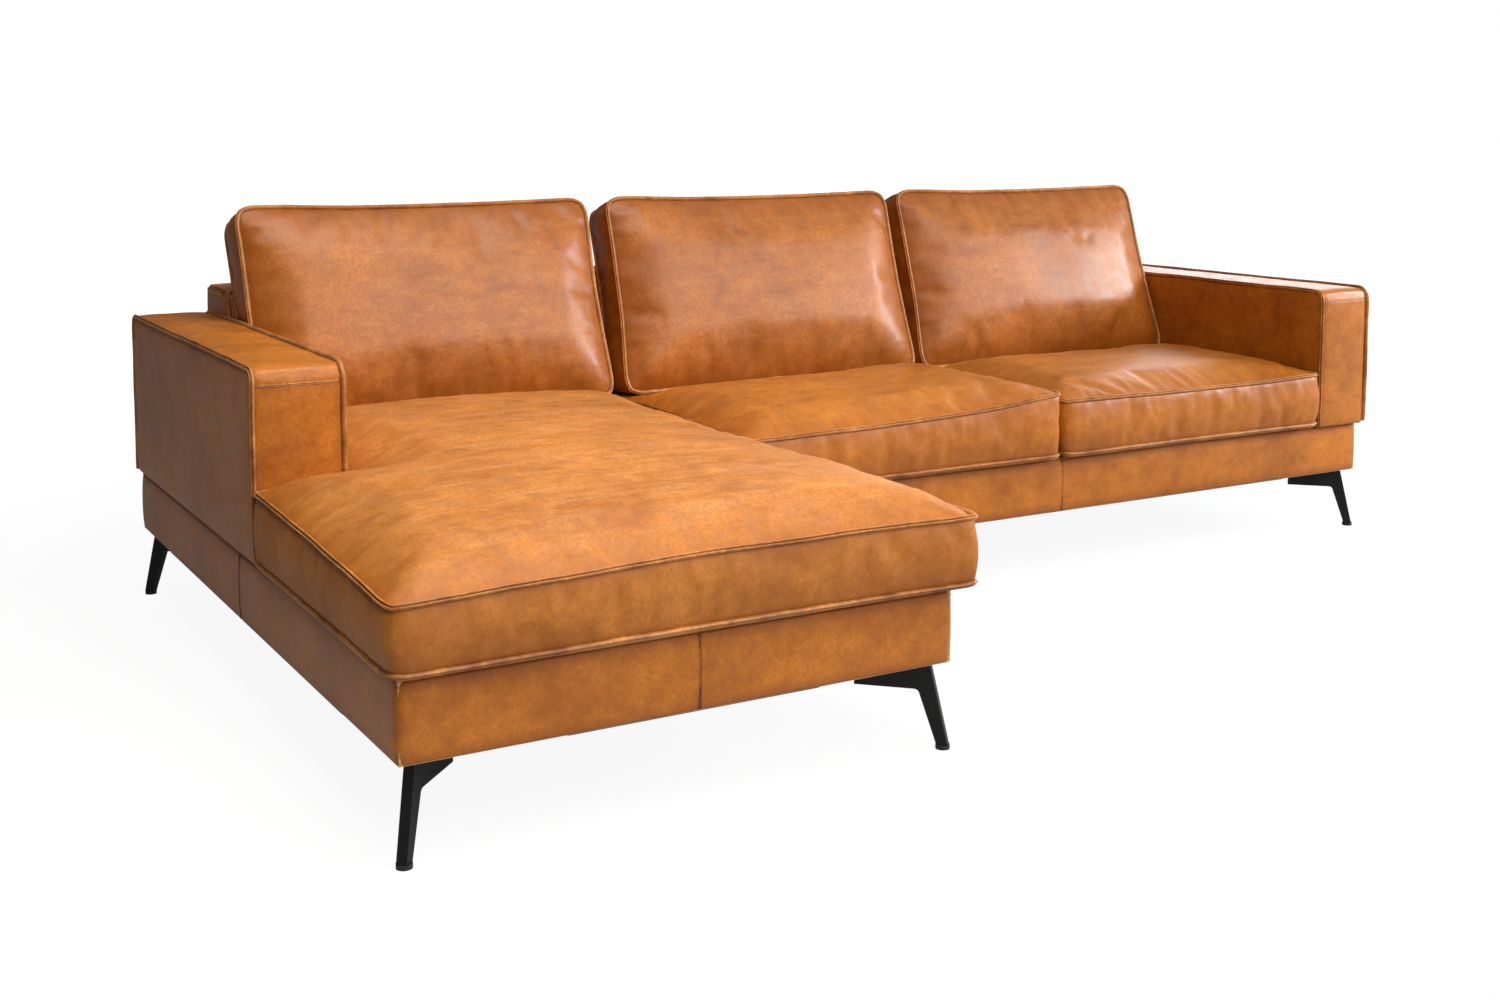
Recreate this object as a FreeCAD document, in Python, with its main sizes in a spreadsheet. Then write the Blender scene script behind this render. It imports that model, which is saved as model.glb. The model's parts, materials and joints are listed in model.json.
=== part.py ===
import FreeCAD, Part
import math
import os
import re
import Sketcher

# Corner sofa: a chaise module on the left and a two-seat module on the right, on cast legs.
# Heights are above the floor. Plan places are measured from the front-left corner of the chaise
# base, X along the sofa and Y to the back, and moved to the centre of the footprint at the end.

doc = FreeCAD.newDocument("corner_sofa")
dims = doc.addObject("Spreadsheet::Sheet", "dims")
places = doc.addObject("Spreadsheet::Sheet", "places")

DIMENSIONS = {
    # Plan and heights of the two modules
    "seat_width": 800,
    "arm_width": 150,
    "chaise_width": 909,
    "chaise_depth": 1606,
    "sofa_depth": 859,
    "module_gap": 1,
    "leg_height": 140,
    "base_height": 118,
    # Arms and backs
    "arm_height": 329,
    "left_arm_length": 940,
    "right_arm_reach": 18,
    "arm_proud": 3,
    "arm_corner": 28,
    "edge_round": 4,
    "arm_padding": 12,
    "arm_board": 18,
    "back_height": 384,
    "back_base_depth": 271,
    "back_overhang": 20,
    "back_recline": 18.4,
    "back_padding": 40,
    "back_panel": 5,
    "rib_thickness": 20,
    "top_rail": 25,
    # Base frames
    "leather": 3,
    "corner_round": 6,
    "dust_cover": 1,
    "rail_thickness": 25,
    "seat_rail_thickness": 45,
    "deck_lap": 10,
    "deck_pad": 20,
    "strap_width": 60,
    "strap_thickness": 2,
    "block_side": 120,
    "block_height": 80,
    "corner_cut": 245,
    # Cast legs, set diagonally under the corners
    "foot_inset": 10.5,
    "foot_width": 18,
    "leg_thickness": 16,
    "leg_top_set": 30,
    "bend_set": 48,
    "bracket_length": 151,
    "bracket_depth": 46,
    "bend_round": 8,
    "flange_set": 34,
    "flange_length": 130,
    "flange_width": 56,
    "flange_thickness": 5,
    "glide_height": 7,
    "glide_radius": 11.5,
    "stud_radius": 3,
    "stud_length": 12,
    "screw_radius": 2.5,
    "screw_length": 35,
    "screw_head_radius": 4.8,
    "screw_head_height": 3,
    "screw_set": 99,
    "screw_side": 18,
    "hole_clearance": 0.2,
    # Plain supports and the connectors between the modules
    "support_radius": 22,
    "support_inset": 58,
    "plate_thickness": 3,
    "plate_side": 44,
    "pin_radius": 6,
    "pin_length": 22,
    "pin_inset": 25,
    "pin_clearance": 0.6,
    "bracket_plate": 5,
    "bracket_width": 60,
    "bracket_reach": 50,
    "connector_inset": 150,
    # Seat cushions
    "cushion_gap": 0.5,
    "seat_gap": 0.3,
    "front_overhang": 22,
    "side_overhang": 14,
    "seat_overhang": 25,
    "boxing_bulge": 6,
    "seat_seam": 130,
    "chaise_seam": 116,
    "bottom_seam": 12,
    "bottom_inset": 14,
    "seat_crown": 42,
    "chaise_crown": 68,
    "crown_share": 0.42,
    "rest_height": 131,
    "rest_depth": 96,
    "rest_rise": 1,
    "seat_corner": 26,
    "draw_in": 0.006,
    "cover_wrap": 6,
    "arm_front_gap": 1,
    # Back cushions
    "back_side_gap": 10,
    "back_shift": 5,
    "back_cushion_height": 452,
    "back_boxing": 92,
    "back_seam_set": 20,
    "back_rear_inset": 55,
    "back_crown": 52,
    "back_corner": 38,
    "back_bulge": 4,
}

DERIVED = {
    "base_length": "2 * arm_width + 3 * seat_width",
    "sofa_front": "chaise_depth - sofa_depth",
    "sofa_left": "chaise_width + module_gap",
    "sofa_width": "base_length - sofa_left",
    "deck_top": "leg_height + base_height",
    "frame_bottom": "leg_height + dust_cover",
    "frame_height": "base_height - dust_cover",
    "rail_inside": "leather + rail_thickness",
    "back_front": "chaise_depth - back_base_depth",
    "back_plane": "chaise_depth + back_overhang",
    "back_depth": "back_base_depth + back_overhang",
    "back_lean": "tan(back_recline)",
    "back_skin": "leather / cos(back_recline)",
    "pad_back": "(leather + back_padding) / cos(back_recline)",
    "back_inside": "back_depth - leather",
    "rib_back": "back_depth - leather - back_panel",
    "back_inner_height": "back_height - leather",
    "rib_height": "back_height - leather - top_rail",
    "strap_top": "deck_top - deck_pad",
    "seat_rail_front": "back_front + deck_lap",
    "left_arm_front": "back_plane - left_arm_length",
    "right_arm_front": "sofa_front - right_arm_reach",
    "right_arm_length": "back_plane - right_arm_front",
    "arm_stack": "leather + arm_padding",
    "connector_top": "leg_height - plate_thickness",
    "origin_x": "(base_length + arm_proud - side_overhang - boxing_bulge) / 2",
    "origin_y": "(back_plane - front_overhang - boxing_bulge) / 2",
}

FUNCTIONS = {"tan", "cos", "sin", "sqrt"}


def formula(text):
    """Turns plain names into references to the sheet that holds each one."""
    def refer(match):
        name = match.group()
        if name in FUNCTIONS:
            return name
        sheet = "dims" if name in DIMENSIONS else "places"
        return f"{sheet}.{name}"
    return re.sub(r"[a-z][a-z_]*", refer, text)


for row, (alias, value) in enumerate(DIMENSIONS.items(), 1):
    dims.set(f"A{row}", str(value))
    dims.setAlias(f"A{row}", alias)
for row, (alias, text) in enumerate(DERIVED.items(), 1):
    places.set(f"A{row}", "=" + formula(text))
    places.setAlias(f"A{row}", alias)
doc.recompute()


def size(alias):
    """The present value of a driving dimension or of a derived place."""
    sheet = dims if alias in DIMENSIONS else places
    return float(sheet.get(alias))


def bind(thing, prop, text):
    thing.setExpression(prop, formula(text))


def place(thing, x, y, z, turn=0):
    """Puts a piece at a plan place, turned about the vertical, with its bottom at height z."""
    upright = FreeCAD.Rotation(FreeCAD.Vector(0, 0, 1), turn)
    thing.Placement = FreeCAD.Placement(FreeCAD.Vector(), upright)
    bind(thing, "Placement.Base.x", f"{x} - origin_x")
    bind(thing, "Placement.Base.y", f"{y} - origin_y")
    bind(thing, "Placement.Base.z", z)
    return thing


def box(name, length, width, height):
    made = doc.addObject("Part::Box", name)
    bind(made, "Length", length)
    bind(made, "Width", width)
    bind(made, "Height", height)
    return made


def cylinder(name, radius, height, x="0", y="0", z="0"):
    made = doc.addObject("Part::Cylinder", name)
    bind(made, "Radius", radius)
    bind(made, "Height", height)
    bind(made, "Placement.Base.x", x)
    bind(made, "Placement.Base.y", y)
    bind(made, "Placement.Base.z", z)
    return made


def hexagon(name, radius, height, x, y, z):
    made = doc.addObject("Part::Prism", name)
    made.Polygon = 6
    bind(made, "Circumradius", radius)
    bind(made, "Height", height)
    bind(made, "Placement.Base.x", x)
    bind(made, "Placement.Base.y", y)
    bind(made, "Placement.Base.z", z)
    return made


def cut(name, base, tool):
    made = doc.addObject("Part::Cut", name)
    made.Base = base
    made.Tool = tool
    return made


def fuse(name, pieces):
    made = doc.addObject("Part::MultiFuse", name)
    made.Shapes = pieces
    return made


def group(name, pieces):
    made = doc.addObject("Part::Compound", name)
    made.Links = pieces
    return made


def new_sketch(body, plane, corners):
    """A closed outline of straight lines, each corner held at named distances from the origin."""
    sketch = body.newObject("Sketcher::SketchObject", f"{body.Name}_outline")
    sketch.AttachmentSupport = [
        (part, "") for part in body.Origin.OriginFeatures if part.Role == plane
    ]
    sketch.MapMode = "FlatFace"
    marks = [FreeCAD.Vector(measure(u), measure(v), 0) for u, v in corners]
    count = len(marks)
    for index in range(count):
        sketch.addGeometry(Part.LineSegment(marks[index], marks[(index + 1) % count]), False)
    for index in range(count):
        sketch.addConstraint(Sketcher.Constraint("Coincident", index, 2, (index + 1) % count, 1))
    for index, (across, along) in enumerate(corners):
        hold(sketch, index, "DistanceX", across, -2)
        hold(sketch, index, "DistanceY", along, -1)
    return sketch


def hold(sketch, index, kind, text, axis):
    """Holds the start of one line on an axis, or at a bound distance from it."""
    if text == "0":
        sketch.addConstraint(Sketcher.Constraint("PointOnObject", index, 1, axis))
        return
    number = sketch.addConstraint(Sketcher.Constraint(kind, -1, 1, index, 1, measure(text)))
    sketch.setExpression(f"Constraints[{number}]", formula(text))


def measure(text):
    """The present value of a formula, read from a scratch cell of the derived sheet."""
    places.set("C1", "=" + formula(text))
    places.recompute()
    return float(places.get("C1"))


def prism(name, plane, corners, length, symmetric=False):
    """An outline padded along its normal."""
    body = doc.addObject("PartDesign::Body", name)
    sketch = new_sketch(body, plane, corners)
    pad = body.newObject("PartDesign::Pad", f"{name}_pad")
    pad.Profile = sketch
    if symmetric:
        pad.SideType = "Symmetric"
    bind(pad, "Length", length)
    return body


def rounded(body, radius, wanted):
    """Rounds the edges of the body's last feature that the test picks."""
    doc.recompute()
    last = body.Tip
    names = [f"Edge{i}" for i, edge in enumerate(last.Shape.Edges, 1) if wanted(edge)]
    fillet = body.newObject("PartDesign::Fillet", f"{body.Name}_round_{len(body.Group)}")
    fillet.Base = (last, names)
    bind(fillet, "Radius", radius)
    return fillet


def runs_along(edge, axis):
    """Tells whether a straight edge runs along X (0), Y (1) or Z (2)."""
    if not isinstance(edge.Curve, Part.Line):
        return False
    return abs(abs(tuple(edge.Curve.Direction)[axis]) - 1) < 1e-6


parts = []


def keep(thing, label):
    """Adds a finished piece to the list of sub-parts, under the name of its node."""
    thing.Label = label
    parts.append(thing)
    return thing


MODULES = {
    "chaise": ("0", "chaise_width", "0", "chaise_depth"),
    "sofa": ("sofa_left", "sofa_width", "sofa_front", "sofa_depth"),
}


# Base frames: rails, cross rails, corner blocks, straps, deck pad and covers

def module_rails(module, left, width, front, depth):
    height = "frame_height"
    bottom = "frame_bottom"
    long_way = f"{width} - 2 * leather"
    short_way = f"{depth} - 2 * rail_inside"
    front_rail = box(f"{module}_front_rail", long_way, "rail_thickness", height)
    place(front_rail, f"{left} + leather", f"{front} + leather", bottom)
    rear_rail = box(f"{module}_rear_rail", long_way, "rail_thickness", height)
    place(rear_rail, f"{left} + leather", f"{front} + {depth} - rail_inside", bottom)
    keep(group(f"{module}_ends", [front_rail, rear_rail]), f"{module}_end_rails")
    left_rail = box(f"{module}_left_rail", "rail_thickness", short_way, height)
    place(left_rail, f"{left} + leather", f"{front} + rail_inside", bottom)
    right_rail = box(f"{module}_right_rail", "rail_thickness", short_way, height)
    place(right_rail, f"{left} + {width} - rail_inside", f"{front} + rail_inside", bottom)
    keep(group(f"{module}_sides", [left_rail, right_rail]), f"{module}_side_rails")
    seat_rail = box(f"{module}_seat_rail", f"{width} - 2 * rail_inside", "seat_rail_thickness", height)
    keep(place(seat_rail, f"{left} + rail_inside", "seat_rail_front", bottom), f"{module}_seat_rail")


def chaise_cross_rails():
    """Two rails across the chaise that carry the straps between the front and seat rails."""
    made = []
    for step in (1, 2):
        rail = box(f"chaise_cross_{step}", "chaise_width - 2 * rail_inside", "rail_thickness",
                   "strap_top - strap_thickness - frame_bottom")
        y = f"rail_inside + {step} / 3 * (seat_rail_front - rail_inside) - rail_thickness / 2"
        made.append(place(rail, "rail_inside", y, "frame_bottom"))
    keep(group("chaise_cross_rails", made), "chaise_cross_rails")


def sofa_cross_rails():
    """Two rails from front to back under the seats of the two-seat module."""
    made = []
    for step in (1, 2):
        rail = box(f"sofa_cross_{step}", "rail_thickness", "seat_rail_front - sofa_front - rail_inside",
                   "strap_top - strap_thickness - frame_bottom")
        x = f"sofa_left + {step} / 3 * sofa_width - rail_thickness / 2"
        made.append(place(rail, x, "sofa_front + rail_inside", "frame_bottom"))
    keep(group("sofa_cross_rails", made), "sofa_cross_rails")


STRAPS = {"chaise": 7, "sofa": 13}


def module_deck(module, left, width, front):
    run = f"seat_rail_front - ({front}) - rail_inside"
    inside = f"({width} - 2 * rail_inside)"
    count = STRAPS[module]
    straps = []
    for step in range(count):
        strap = box(f"{module}_strap_{step + 1}", "strap_width", run, "strap_thickness")
        x = f"{left} + rail_inside + {step + 0.5} / {count} * {inside} - strap_width / 2"
        straps.append(place(strap, x, f"{front} + rail_inside", "strap_top - strap_thickness"))
    keep(group(f"{module}_straps", straps), f"{module}_seat_straps")
    pad = box(f"{module}_deck", inside, run, "deck_pad")
    keep(place(pad, f"{left} + rail_inside", f"{front} + rail_inside", "strap_top"),
         f"{module}_deck_pad")


def module_covers(module, left, width, front, depth):
    """The leather round the base, open above and below, and the cloth under it."""
    outline = [("0", "0"), (width, "0"), (width, depth), ("0", depth)]
    shell = prism(f"{module}_skirt", "XY_Plane", outline, "base_height")
    rounded(shell, "corner_round", lambda edge: runs_along(edge, 2))
    place(shell, left, front, "leg_height")
    hollow = box(f"{module}_skirt_inside", f"{width} - 2 * leather", f"{depth} - 2 * leather",
                 "base_height")
    place(hollow, f"{left} + leather", f"{front} + leather", "leg_height")
    keep(cut(f"{module}_base_cover", shell, hollow), f"{module}_base_cover")
    wide = f"{width} - 2 * leather"
    deep = f"{depth} - 2 * leather"
    octagon = [
        ("corner_cut", "0"), (f"{wide} - corner_cut", "0"),
        (wide, "corner_cut"), (wide, f"{deep} - corner_cut"),
        (f"{wide} - corner_cut", deep), ("corner_cut", deep),
        ("0", f"{deep} - corner_cut"), ("0", "corner_cut"),
    ]
    cloth = prism(f"{module}_dust", "XY_Plane", octagon, "dust_cover")
    keep(place(cloth, f"{left} + leather", f"{front} + leather", "leg_height"),
         f"{module}_dust_cover")


# Legs: a cast bracket along the diagonal of a corner, with a splayed leg at its outer end

CORNERS = {
    "front_left": (1, 1, 45),
    "front_right": (-1, 1, 135),
    "rear_right": (-1, -1, 225),
    "rear_left": (1, -1, 315),
}


def corner_place(module, corner, inset):
    """Plan place on the diagonal of a module's corner, a bound distance inside both sides."""
    left, width, front, depth = MODULES[module]
    to_right, to_back, turn = CORNERS[corner]
    x = f"{left} + {inset}" if to_right > 0 else f"{left} + {width} - ({inset})"
    y = f"{front} + {inset}" if to_back > 0 else f"{front} + {depth} - ({inset})"
    return x, y, turn


def leg_body(name):
    """The leg's side outline runs inwards from the outer edge of the foot at the local origin."""
    outline = [
        ("0", "glide_height"),
        ("foot_width", "glide_height"),
        ("bend_set", "frame_bottom - bracket_depth"),
        ("bracket_length", "frame_bottom - bracket_depth"),
        ("bracket_length", "frame_bottom"),
        ("leg_top_set", "frame_bottom"),
    ]
    body = prism(name, "XZ_Plane", outline, "leg_thickness", symmetric=True)
    bend = FreeCAD.Vector(size("bend_set"), 0, size("frame_bottom") - size("bracket_depth"))
    rounded(body, "bend_round", lambda edge: edge.CenterOfMass.distanceToPoint(bend) < 0.01)
    flange = body.newObject("PartDesign::Pad", f"{name}_flange")
    flange.Profile = new_sketch(body, "XZ_Plane", [
        ("flange_set", "frame_bottom - flange_thickness"),
        ("flange_set + flange_length", "frame_bottom - flange_thickness"),
        ("flange_set + flange_length", "frame_bottom"),
        ("flange_set", "frame_bottom"),
    ])
    flange.SideType = "Symmetric"
    bind(flange, "Length", "flange_width")
    return body


def make_leg(module, corner):
    """One leg with its glide, its screws, and the corner block that they hold to."""
    key = f"{module}_{corner}"
    half_foot = "foot_width / 2 * cos(45)"
    x, y, turn = corner_place(module, corner, f"(foot_inset - {half_foot})")
    body = place(leg_body(f"{key}_leg_body"), x, y, "0", turn)
    holes = []
    screws = []
    along = "screw_set"
    for number, across in enumerate(("screw_side", "-screw_side")):
        holes.append(cylinder(
            f"{key}_hole_{number}", "screw_radius + hole_clearance", "screw_length + flange_thickness",
            along, across, "frame_bottom - flange_thickness - hole_clearance"))
        shank = cylinder(f"{key}_shank_{number}", "screw_radius", "screw_length",
                         along, across, "frame_bottom - flange_thickness")
        head = hexagon(f"{key}_head_{number}", "screw_head_radius", "screw_head_height",
                       along, across, "frame_bottom - flange_thickness - screw_head_height")
        screws.append(fuse(f"{key}_screw_{number}", [shank, head]))
    holes.append(cylinder(f"{key}_stud_hole", "stud_radius + hole_clearance",
                          "stud_length + hole_clearance", "foot_width / 2", "0", "glide_height"))
    drilled = place(group(f"{key}_holes", holes), x, y, "0", turn)
    fixed = place(group(f"{key}_screws", screws), x, y, "0", turn)
    keep(cut(f"{key}_leg", body, drilled), f"{key}_leg")
    disc = cylinder(f"{key}_disc", "glide_radius", "glide_height")
    stud = cylinder(f"{key}_stud", "stud_radius", "stud_length", z="glide_height")
    glide = fuse(f"{key}_glide", [disc, stud])
    foot_x, foot_y, turn = corner_place(module, corner, "foot_inset")
    place(glide, foot_x, foot_y, "0")
    return drilled, fixed, glide


def corner_block(module, corner):
    """A triangular block in the corner of the rails."""
    side = [("0", "0"), ("block_side", "0"), ("0", "block_side")]
    block = prism(f"{module}_{corner}_block", "XY_Plane", side, "block_height")
    x, y, turn = corner_place(module, corner, "rail_inside")
    return place(block, x, y, "frame_bottom", turn - 45)


LEGS = {
    "chaise": ("front_left", "front_right", "rear_right", "rear_left"),
    "sofa": ("front_right", "rear_right"),
}


def module_legs(module):
    blocks = []
    screws = []
    glides = []
    for corner in CORNERS:
        block = corner_block(module, corner)
        if corner in LEGS[module]:
            drilled, fixed, glide = make_leg(module, corner)
            block = cut(f"{module}_{corner}_drilled", block, drilled)
            screws.append(fixed)
            glides.append(glide)
        blocks.append(block)
    keep(group(f"{module}_corner_blocks", blocks), f"{module}_corner_blocks")
    keep(group(f"{module}_leg_screws", screws), f"{module}_leg_screws")
    keep(group(f"{module}_glides", glides), f"{module}_glides")


def sofa_supports():
    """Plain round feet under the two-seat module where the chaise hides it."""
    made = []
    for corner in ("front_left", "rear_left"):
        x, y, turn = corner_place("sofa", corner, "support_inset")
        foot = cylinder(f"sofa_{corner}_support", "support_radius", "frame_bottom")
        made.append(place(foot, x, y, "0"))
    keep(group("sofa_supports", made), "sofa_support_feet")


# Connectors: pins under the chaise drop into brackets under the two-seat module

def connectors():
    pins = []
    brackets = []
    for number, y in enumerate(("sofa_front + connector_inset",
                                "chaise_depth - 2 * connector_inset")):
        plate = box(f"pin_plate_{number}", "plate_side", "plate_side", "plate_thickness")
        place(plate, "chaise_width - pin_inset - plate_side / 2", f"{y} - plate_side / 2",
              "connector_top")
        pin = cylinder(f"pin_{number}", "pin_radius", "pin_length")
        place(pin, "chaise_width - pin_inset", y, "connector_top - pin_length")
        pins.append(fuse(f"chaise_pin_{number}", [plate, pin]))
        tongue = box(f"tongue_{number}", "bracket_reach + module_gap + bracket_width", "bracket_width",
                     "bracket_plate")
        place(tongue, "chaise_width - bracket_reach", f"{y} - bracket_width / 2",
              "connector_top - bracket_plate")
        riser = box(f"riser_{number}", "bracket_width", "bracket_width", "plate_thickness")
        place(riser, "sofa_left", f"{y} - bracket_width / 2", "connector_top")
        eye = cylinder(f"eye_{number}", "pin_radius + pin_clearance", "bracket_plate")
        place(eye, "chaise_width - pin_inset", y, "connector_top - bracket_plate")
        brackets.append(cut(f"sofa_bracket_{number}", fuse(f"bent_plate_{number}", [tongue, riser]), eye))
    keep(group("connector_pins", pins), "chaise_connector_pins")
    keep(group("connector_brackets", brackets), "sofa_connector_brackets")


# Arms: a board box, foam padding and a leather cover, each open below

def arm_block(name, side, front, length, inset):
    """The arm's outline from the side, drawn in on all faces but the bottom."""
    along = f"{length} - 2 * ({inset})" if inset != "0" else length
    up = f"arm_height - ({inset})" if inset != "0" else "arm_height"
    outline = [("0", "0"), (along, "0"), (along, up), ("0", up)]
    body = prism(name, "YZ_Plane", outline, f"arm_width + arm_proud - 2 * ({inset})")
    height = size("arm_height") - measure(inset)

    def top_front(edge):
        middle = edge.CenterOfMass
        return runs_along(edge, 0) and abs(middle.y) < 0.01 and abs(middle.z - height) < 0.01

    rounded(body, f"arm_corner - ({inset})", top_front)
    x = "-arm_proud" if side == "left" else "base_length - arm_width"
    place(body, f"{x} + {inset}", f"{front} + {inset}", "deck_top")
    return body


def arm(side, front, length):
    outer = arm_block(f"{side}_arm_outer", side, front, length, "0")
    width = size("arm_width") + size("arm_proud")

    def profile_edge(edge):
        middle = edge.CenterOfMass
        on_side = min(abs(middle.x), abs(middle.x - width)) < 0.01
        return on_side and middle.z > 0.01

    rounded(outer, "edge_round", profile_edge)
    padded = arm_block(f"{side}_arm_padded", side, front, length, "leather")
    wide = "arm_width + arm_proud - 2 * arm_stack"
    deep = f"{length} - 2 * arm_stack"
    x = "-arm_proud" if side == "left" else "base_length - arm_width"
    frame = box(f"{side}_arm_boards", wide, deep, "arm_height - arm_stack")
    place(frame, f"{x} + arm_stack", f"{front} + arm_stack", "deck_top")
    room = box(f"{side}_arm_room", f"{wide} - 2 * arm_board", f"{deep} - 2 * arm_board",
               "arm_height - arm_stack - arm_board")
    place(room, f"{x} + arm_stack + arm_board", f"{front} + arm_stack + arm_board", "deck_top")
    keep(cut(f"{side}_arm_frame", frame, room), f"{side}_arm_frame")
    keep(cut(f"{side}_arm_padding", padded, frame), f"{side}_arm_padding")
    keep(cut(f"{side}_arm_cover", outer, padded), f"{side}_arm_cover")


# Backs: sloping ribs under a top rail, a panel behind, foam in front and a leather cover

def sloped(base, top):
    """The place that a line with the back's lean reaches at a height above the deck."""
    return f"{base} + ({top}) * back_lean"


def back(module, left, right, ribs):
    span = f"({right}) - ({left})"
    outer = prism(f"{module}_back_outer", "YZ_Plane", [
        ("0", "0"), ("back_depth", "0"), ("back_depth", "back_height"),
        (sloped("0", "back_height"), "back_height"),
    ], span)
    place(outer, left, "back_front", "deck_top")
    inner = prism(f"{module}_back_inner", "YZ_Plane", [
        ("back_skin", "0"), ("back_inside", "0"), ("back_inside", "back_inner_height"),
        (sloped("back_skin", "back_inner_height"), "back_inner_height"),
    ], span)
    place(inner, left, "back_front", "deck_top")
    keep(cut(f"{module}_back_cover", outer, inner), f"{module}_back_cover")
    foam = prism(f"{module}_back_foam", "YZ_Plane", [
        ("back_skin", "0"), ("pad_back", "0"),
        (sloped("pad_back", "back_inner_height"), "back_inner_height"),
        (sloped("back_skin", "back_inner_height"), "back_inner_height"),
    ], span)
    keep(place(foam, left, "back_front", "deck_top"), f"{module}_back_padding")
    panel = box(f"{module}_panel", span, "back_panel", "back_inner_height")
    keep(place(panel, left, "back_front + rib_back", "deck_top"), f"{module}_back_panel")
    rail_front = sloped("pad_back", "back_inner_height")
    rail = box(f"{module}_top_board", span, f"rib_back - ({rail_front})", "top_rail")
    keep(place(rail, left, f"back_front + {rail_front}", "deck_top + rib_height"),
         f"{module}_back_top_rail")
    made = []
    for step in range(ribs):
        rib = prism(f"{module}_rib_{step + 1}", "YZ_Plane", [
            ("pad_back", "0"), ("rib_back", "0"), ("rib_back", "rib_height"),
            (sloped("pad_back", "rib_height"), "rib_height"),
        ], "rib_thickness")
        x = f"{left} + {step} / {ribs - 1} * ({span} - rib_thickness)"
        made.append(place(rib, x, "back_front", "deck_top"))
    keep(group(f"{module}_ribs", made), f"{module}_back_ribs")


# Cushions: lofts through outlines drawn in between their corners, with a crown above the seam

BOX_SIGNS = (1, -1, -1, 1)
CORNER_SIGNS = (1, -1, -1, 1, -1, 1)

# Chords to a side, chords to a corner and steps of the crown, for the outside and for the core
FINE = (4, 3, 5)
COARSE = (2, 1, 2)


def rim(lines, signs, insets):
    """Corners where lines along X and Y meet in turn, each line moved inwards by its inset."""
    moved = [line + sign * inset for line, sign, inset in zip(lines, signs, insets)]
    corners = []
    for index, here in enumerate(moved):
        before = moved[index - 1]
        corners.append((before, here) if index % 2 == 0 else (here, before))
    return corners


def level(corners, height, radii, grain):
    """One level of a cushion: a rounded outline whose sides draw in between its corners."""
    side_chords, corner_chords, _ = grain
    count = len(corners)
    marks = [FreeCAD.Vector(x, y, height) for x, y in corners]
    outline = []
    for index, here in enumerate(marks):
        after = marks[(index + 1) % count]
        back_way = (marks[index - 1] - here).normalize()
        on_way = (after - here).normalize()
        centre = here + (back_way + on_way) * radii[index]
        for step in range(corner_chords):
            angle = math.pi / 2 * step / corner_chords
            outline.append(centre - (on_way * math.cos(angle) + back_way * math.sin(angle)) * radii[index])
        start = here + on_way * radii[index]
        run = after - on_way * radii[(index + 1) % count] - start
        inward = FreeCAD.Vector(0, 0, 1).cross(run) * size("draw_in")
        for step in range(side_chords):
            share = step / side_chords
            outline.append(start + run * share + inward * (4 * share * (1 - share)))
    return Part.makePolygon(outline + outline[:1])


def facetted_loft(levels):
    """A straight loft through the levels, each of its flat facets made a true plane."""
    facets = []
    for face in Part.makeLoft(levels, True, True).Faces:
        corners = [vertex.Point for vertex in face.OuterWire.OrderedVertexes]
        facets.append(Part.Face(Part.makePolygon(corners + corners[:1])))
    skin = Part.makeCompound(facets)
    skin.sewShape()
    solid = Part.Solid(skin.Shells[0])
    if solid.Volume < 0:
        solid.reverse()
    return solid


def crown_curve(share):
    """Height of a crown, as a share of its full height, at a share of its run inwards."""
    return 1 - (1 - share) ** 2


def seat_form(lines, signs, tight_corner, seam, crown, skin, grain):
    """A seat cushion's outside, or the foam inside it when a skin is taken off all round."""
    narrow = min(lines[1] - lines[3], lines[2] - lines[0] - size("rest_depth"))
    if len(lines) > 4:
        narrow = min(narrow, lines[4] - lines[0])
    run = size("crown_share") * narrow
    count = len(lines)
    rest = size("rest_height") - seam
    start = 1 - math.sqrt(1 - rest / crown)
    top = seam - skin

    def ring(height, inset, back_inset, share=0):
        insets = [inset + skin] * count
        insets[2] = back_inset + skin
        radius = (size("seat_corner") - skin) * (1 - share / 2)
        radii = [radius] * count
        if tight_corner is not None:
            radii[tight_corner] = size("edge_round") / 2
        return level(rim(lines, signs, insets), height, radii, grain)

    bulge = size("boxing_bulge")
    half = (size("bottom_seam") + seam) / 2
    rise = size("rest_rise")
    levels = [
        ring(skin, size("bottom_inset"), size("bottom_inset")),
        ring(size("bottom_seam"), 0, 0),
        ring(half, -bulge, -bulge),
        ring(top, 0, 0),
        ring(top + rest, run * start, rise, start),
        ring(top + rest + rise, run * start + rise, size("rest_depth"), start),
    ]
    steps = grain[2]
    for step in range(1, steps + 1):
        share = start + (1 - start) * step / steps
        height = top + crown * crown_curve(share) + rise
        back_inset = size("rest_depth") + run * (share - start)
        levels.append(ring(height, run * share + rise, back_inset, share))
    return facetted_loft(levels)


def add_cushion(name, outside, inside, x, y, z):
    """Makes the cover, hollow for its core, and the core of one cushion."""
    origin = FreeCAD.Vector(x - size("origin_x"), y - size("origin_y"), z)
    for label, shape in ((f"{name}_cover", outside.cut(inside)), (f"{name}_core", inside)):
        piece = doc.addObject("Part::Feature", label)
        piece.Shape = shape
        piece.Placement = FreeCAD.Placement(origin, FreeCAD.Rotation())
        keep(piece, label)


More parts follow.
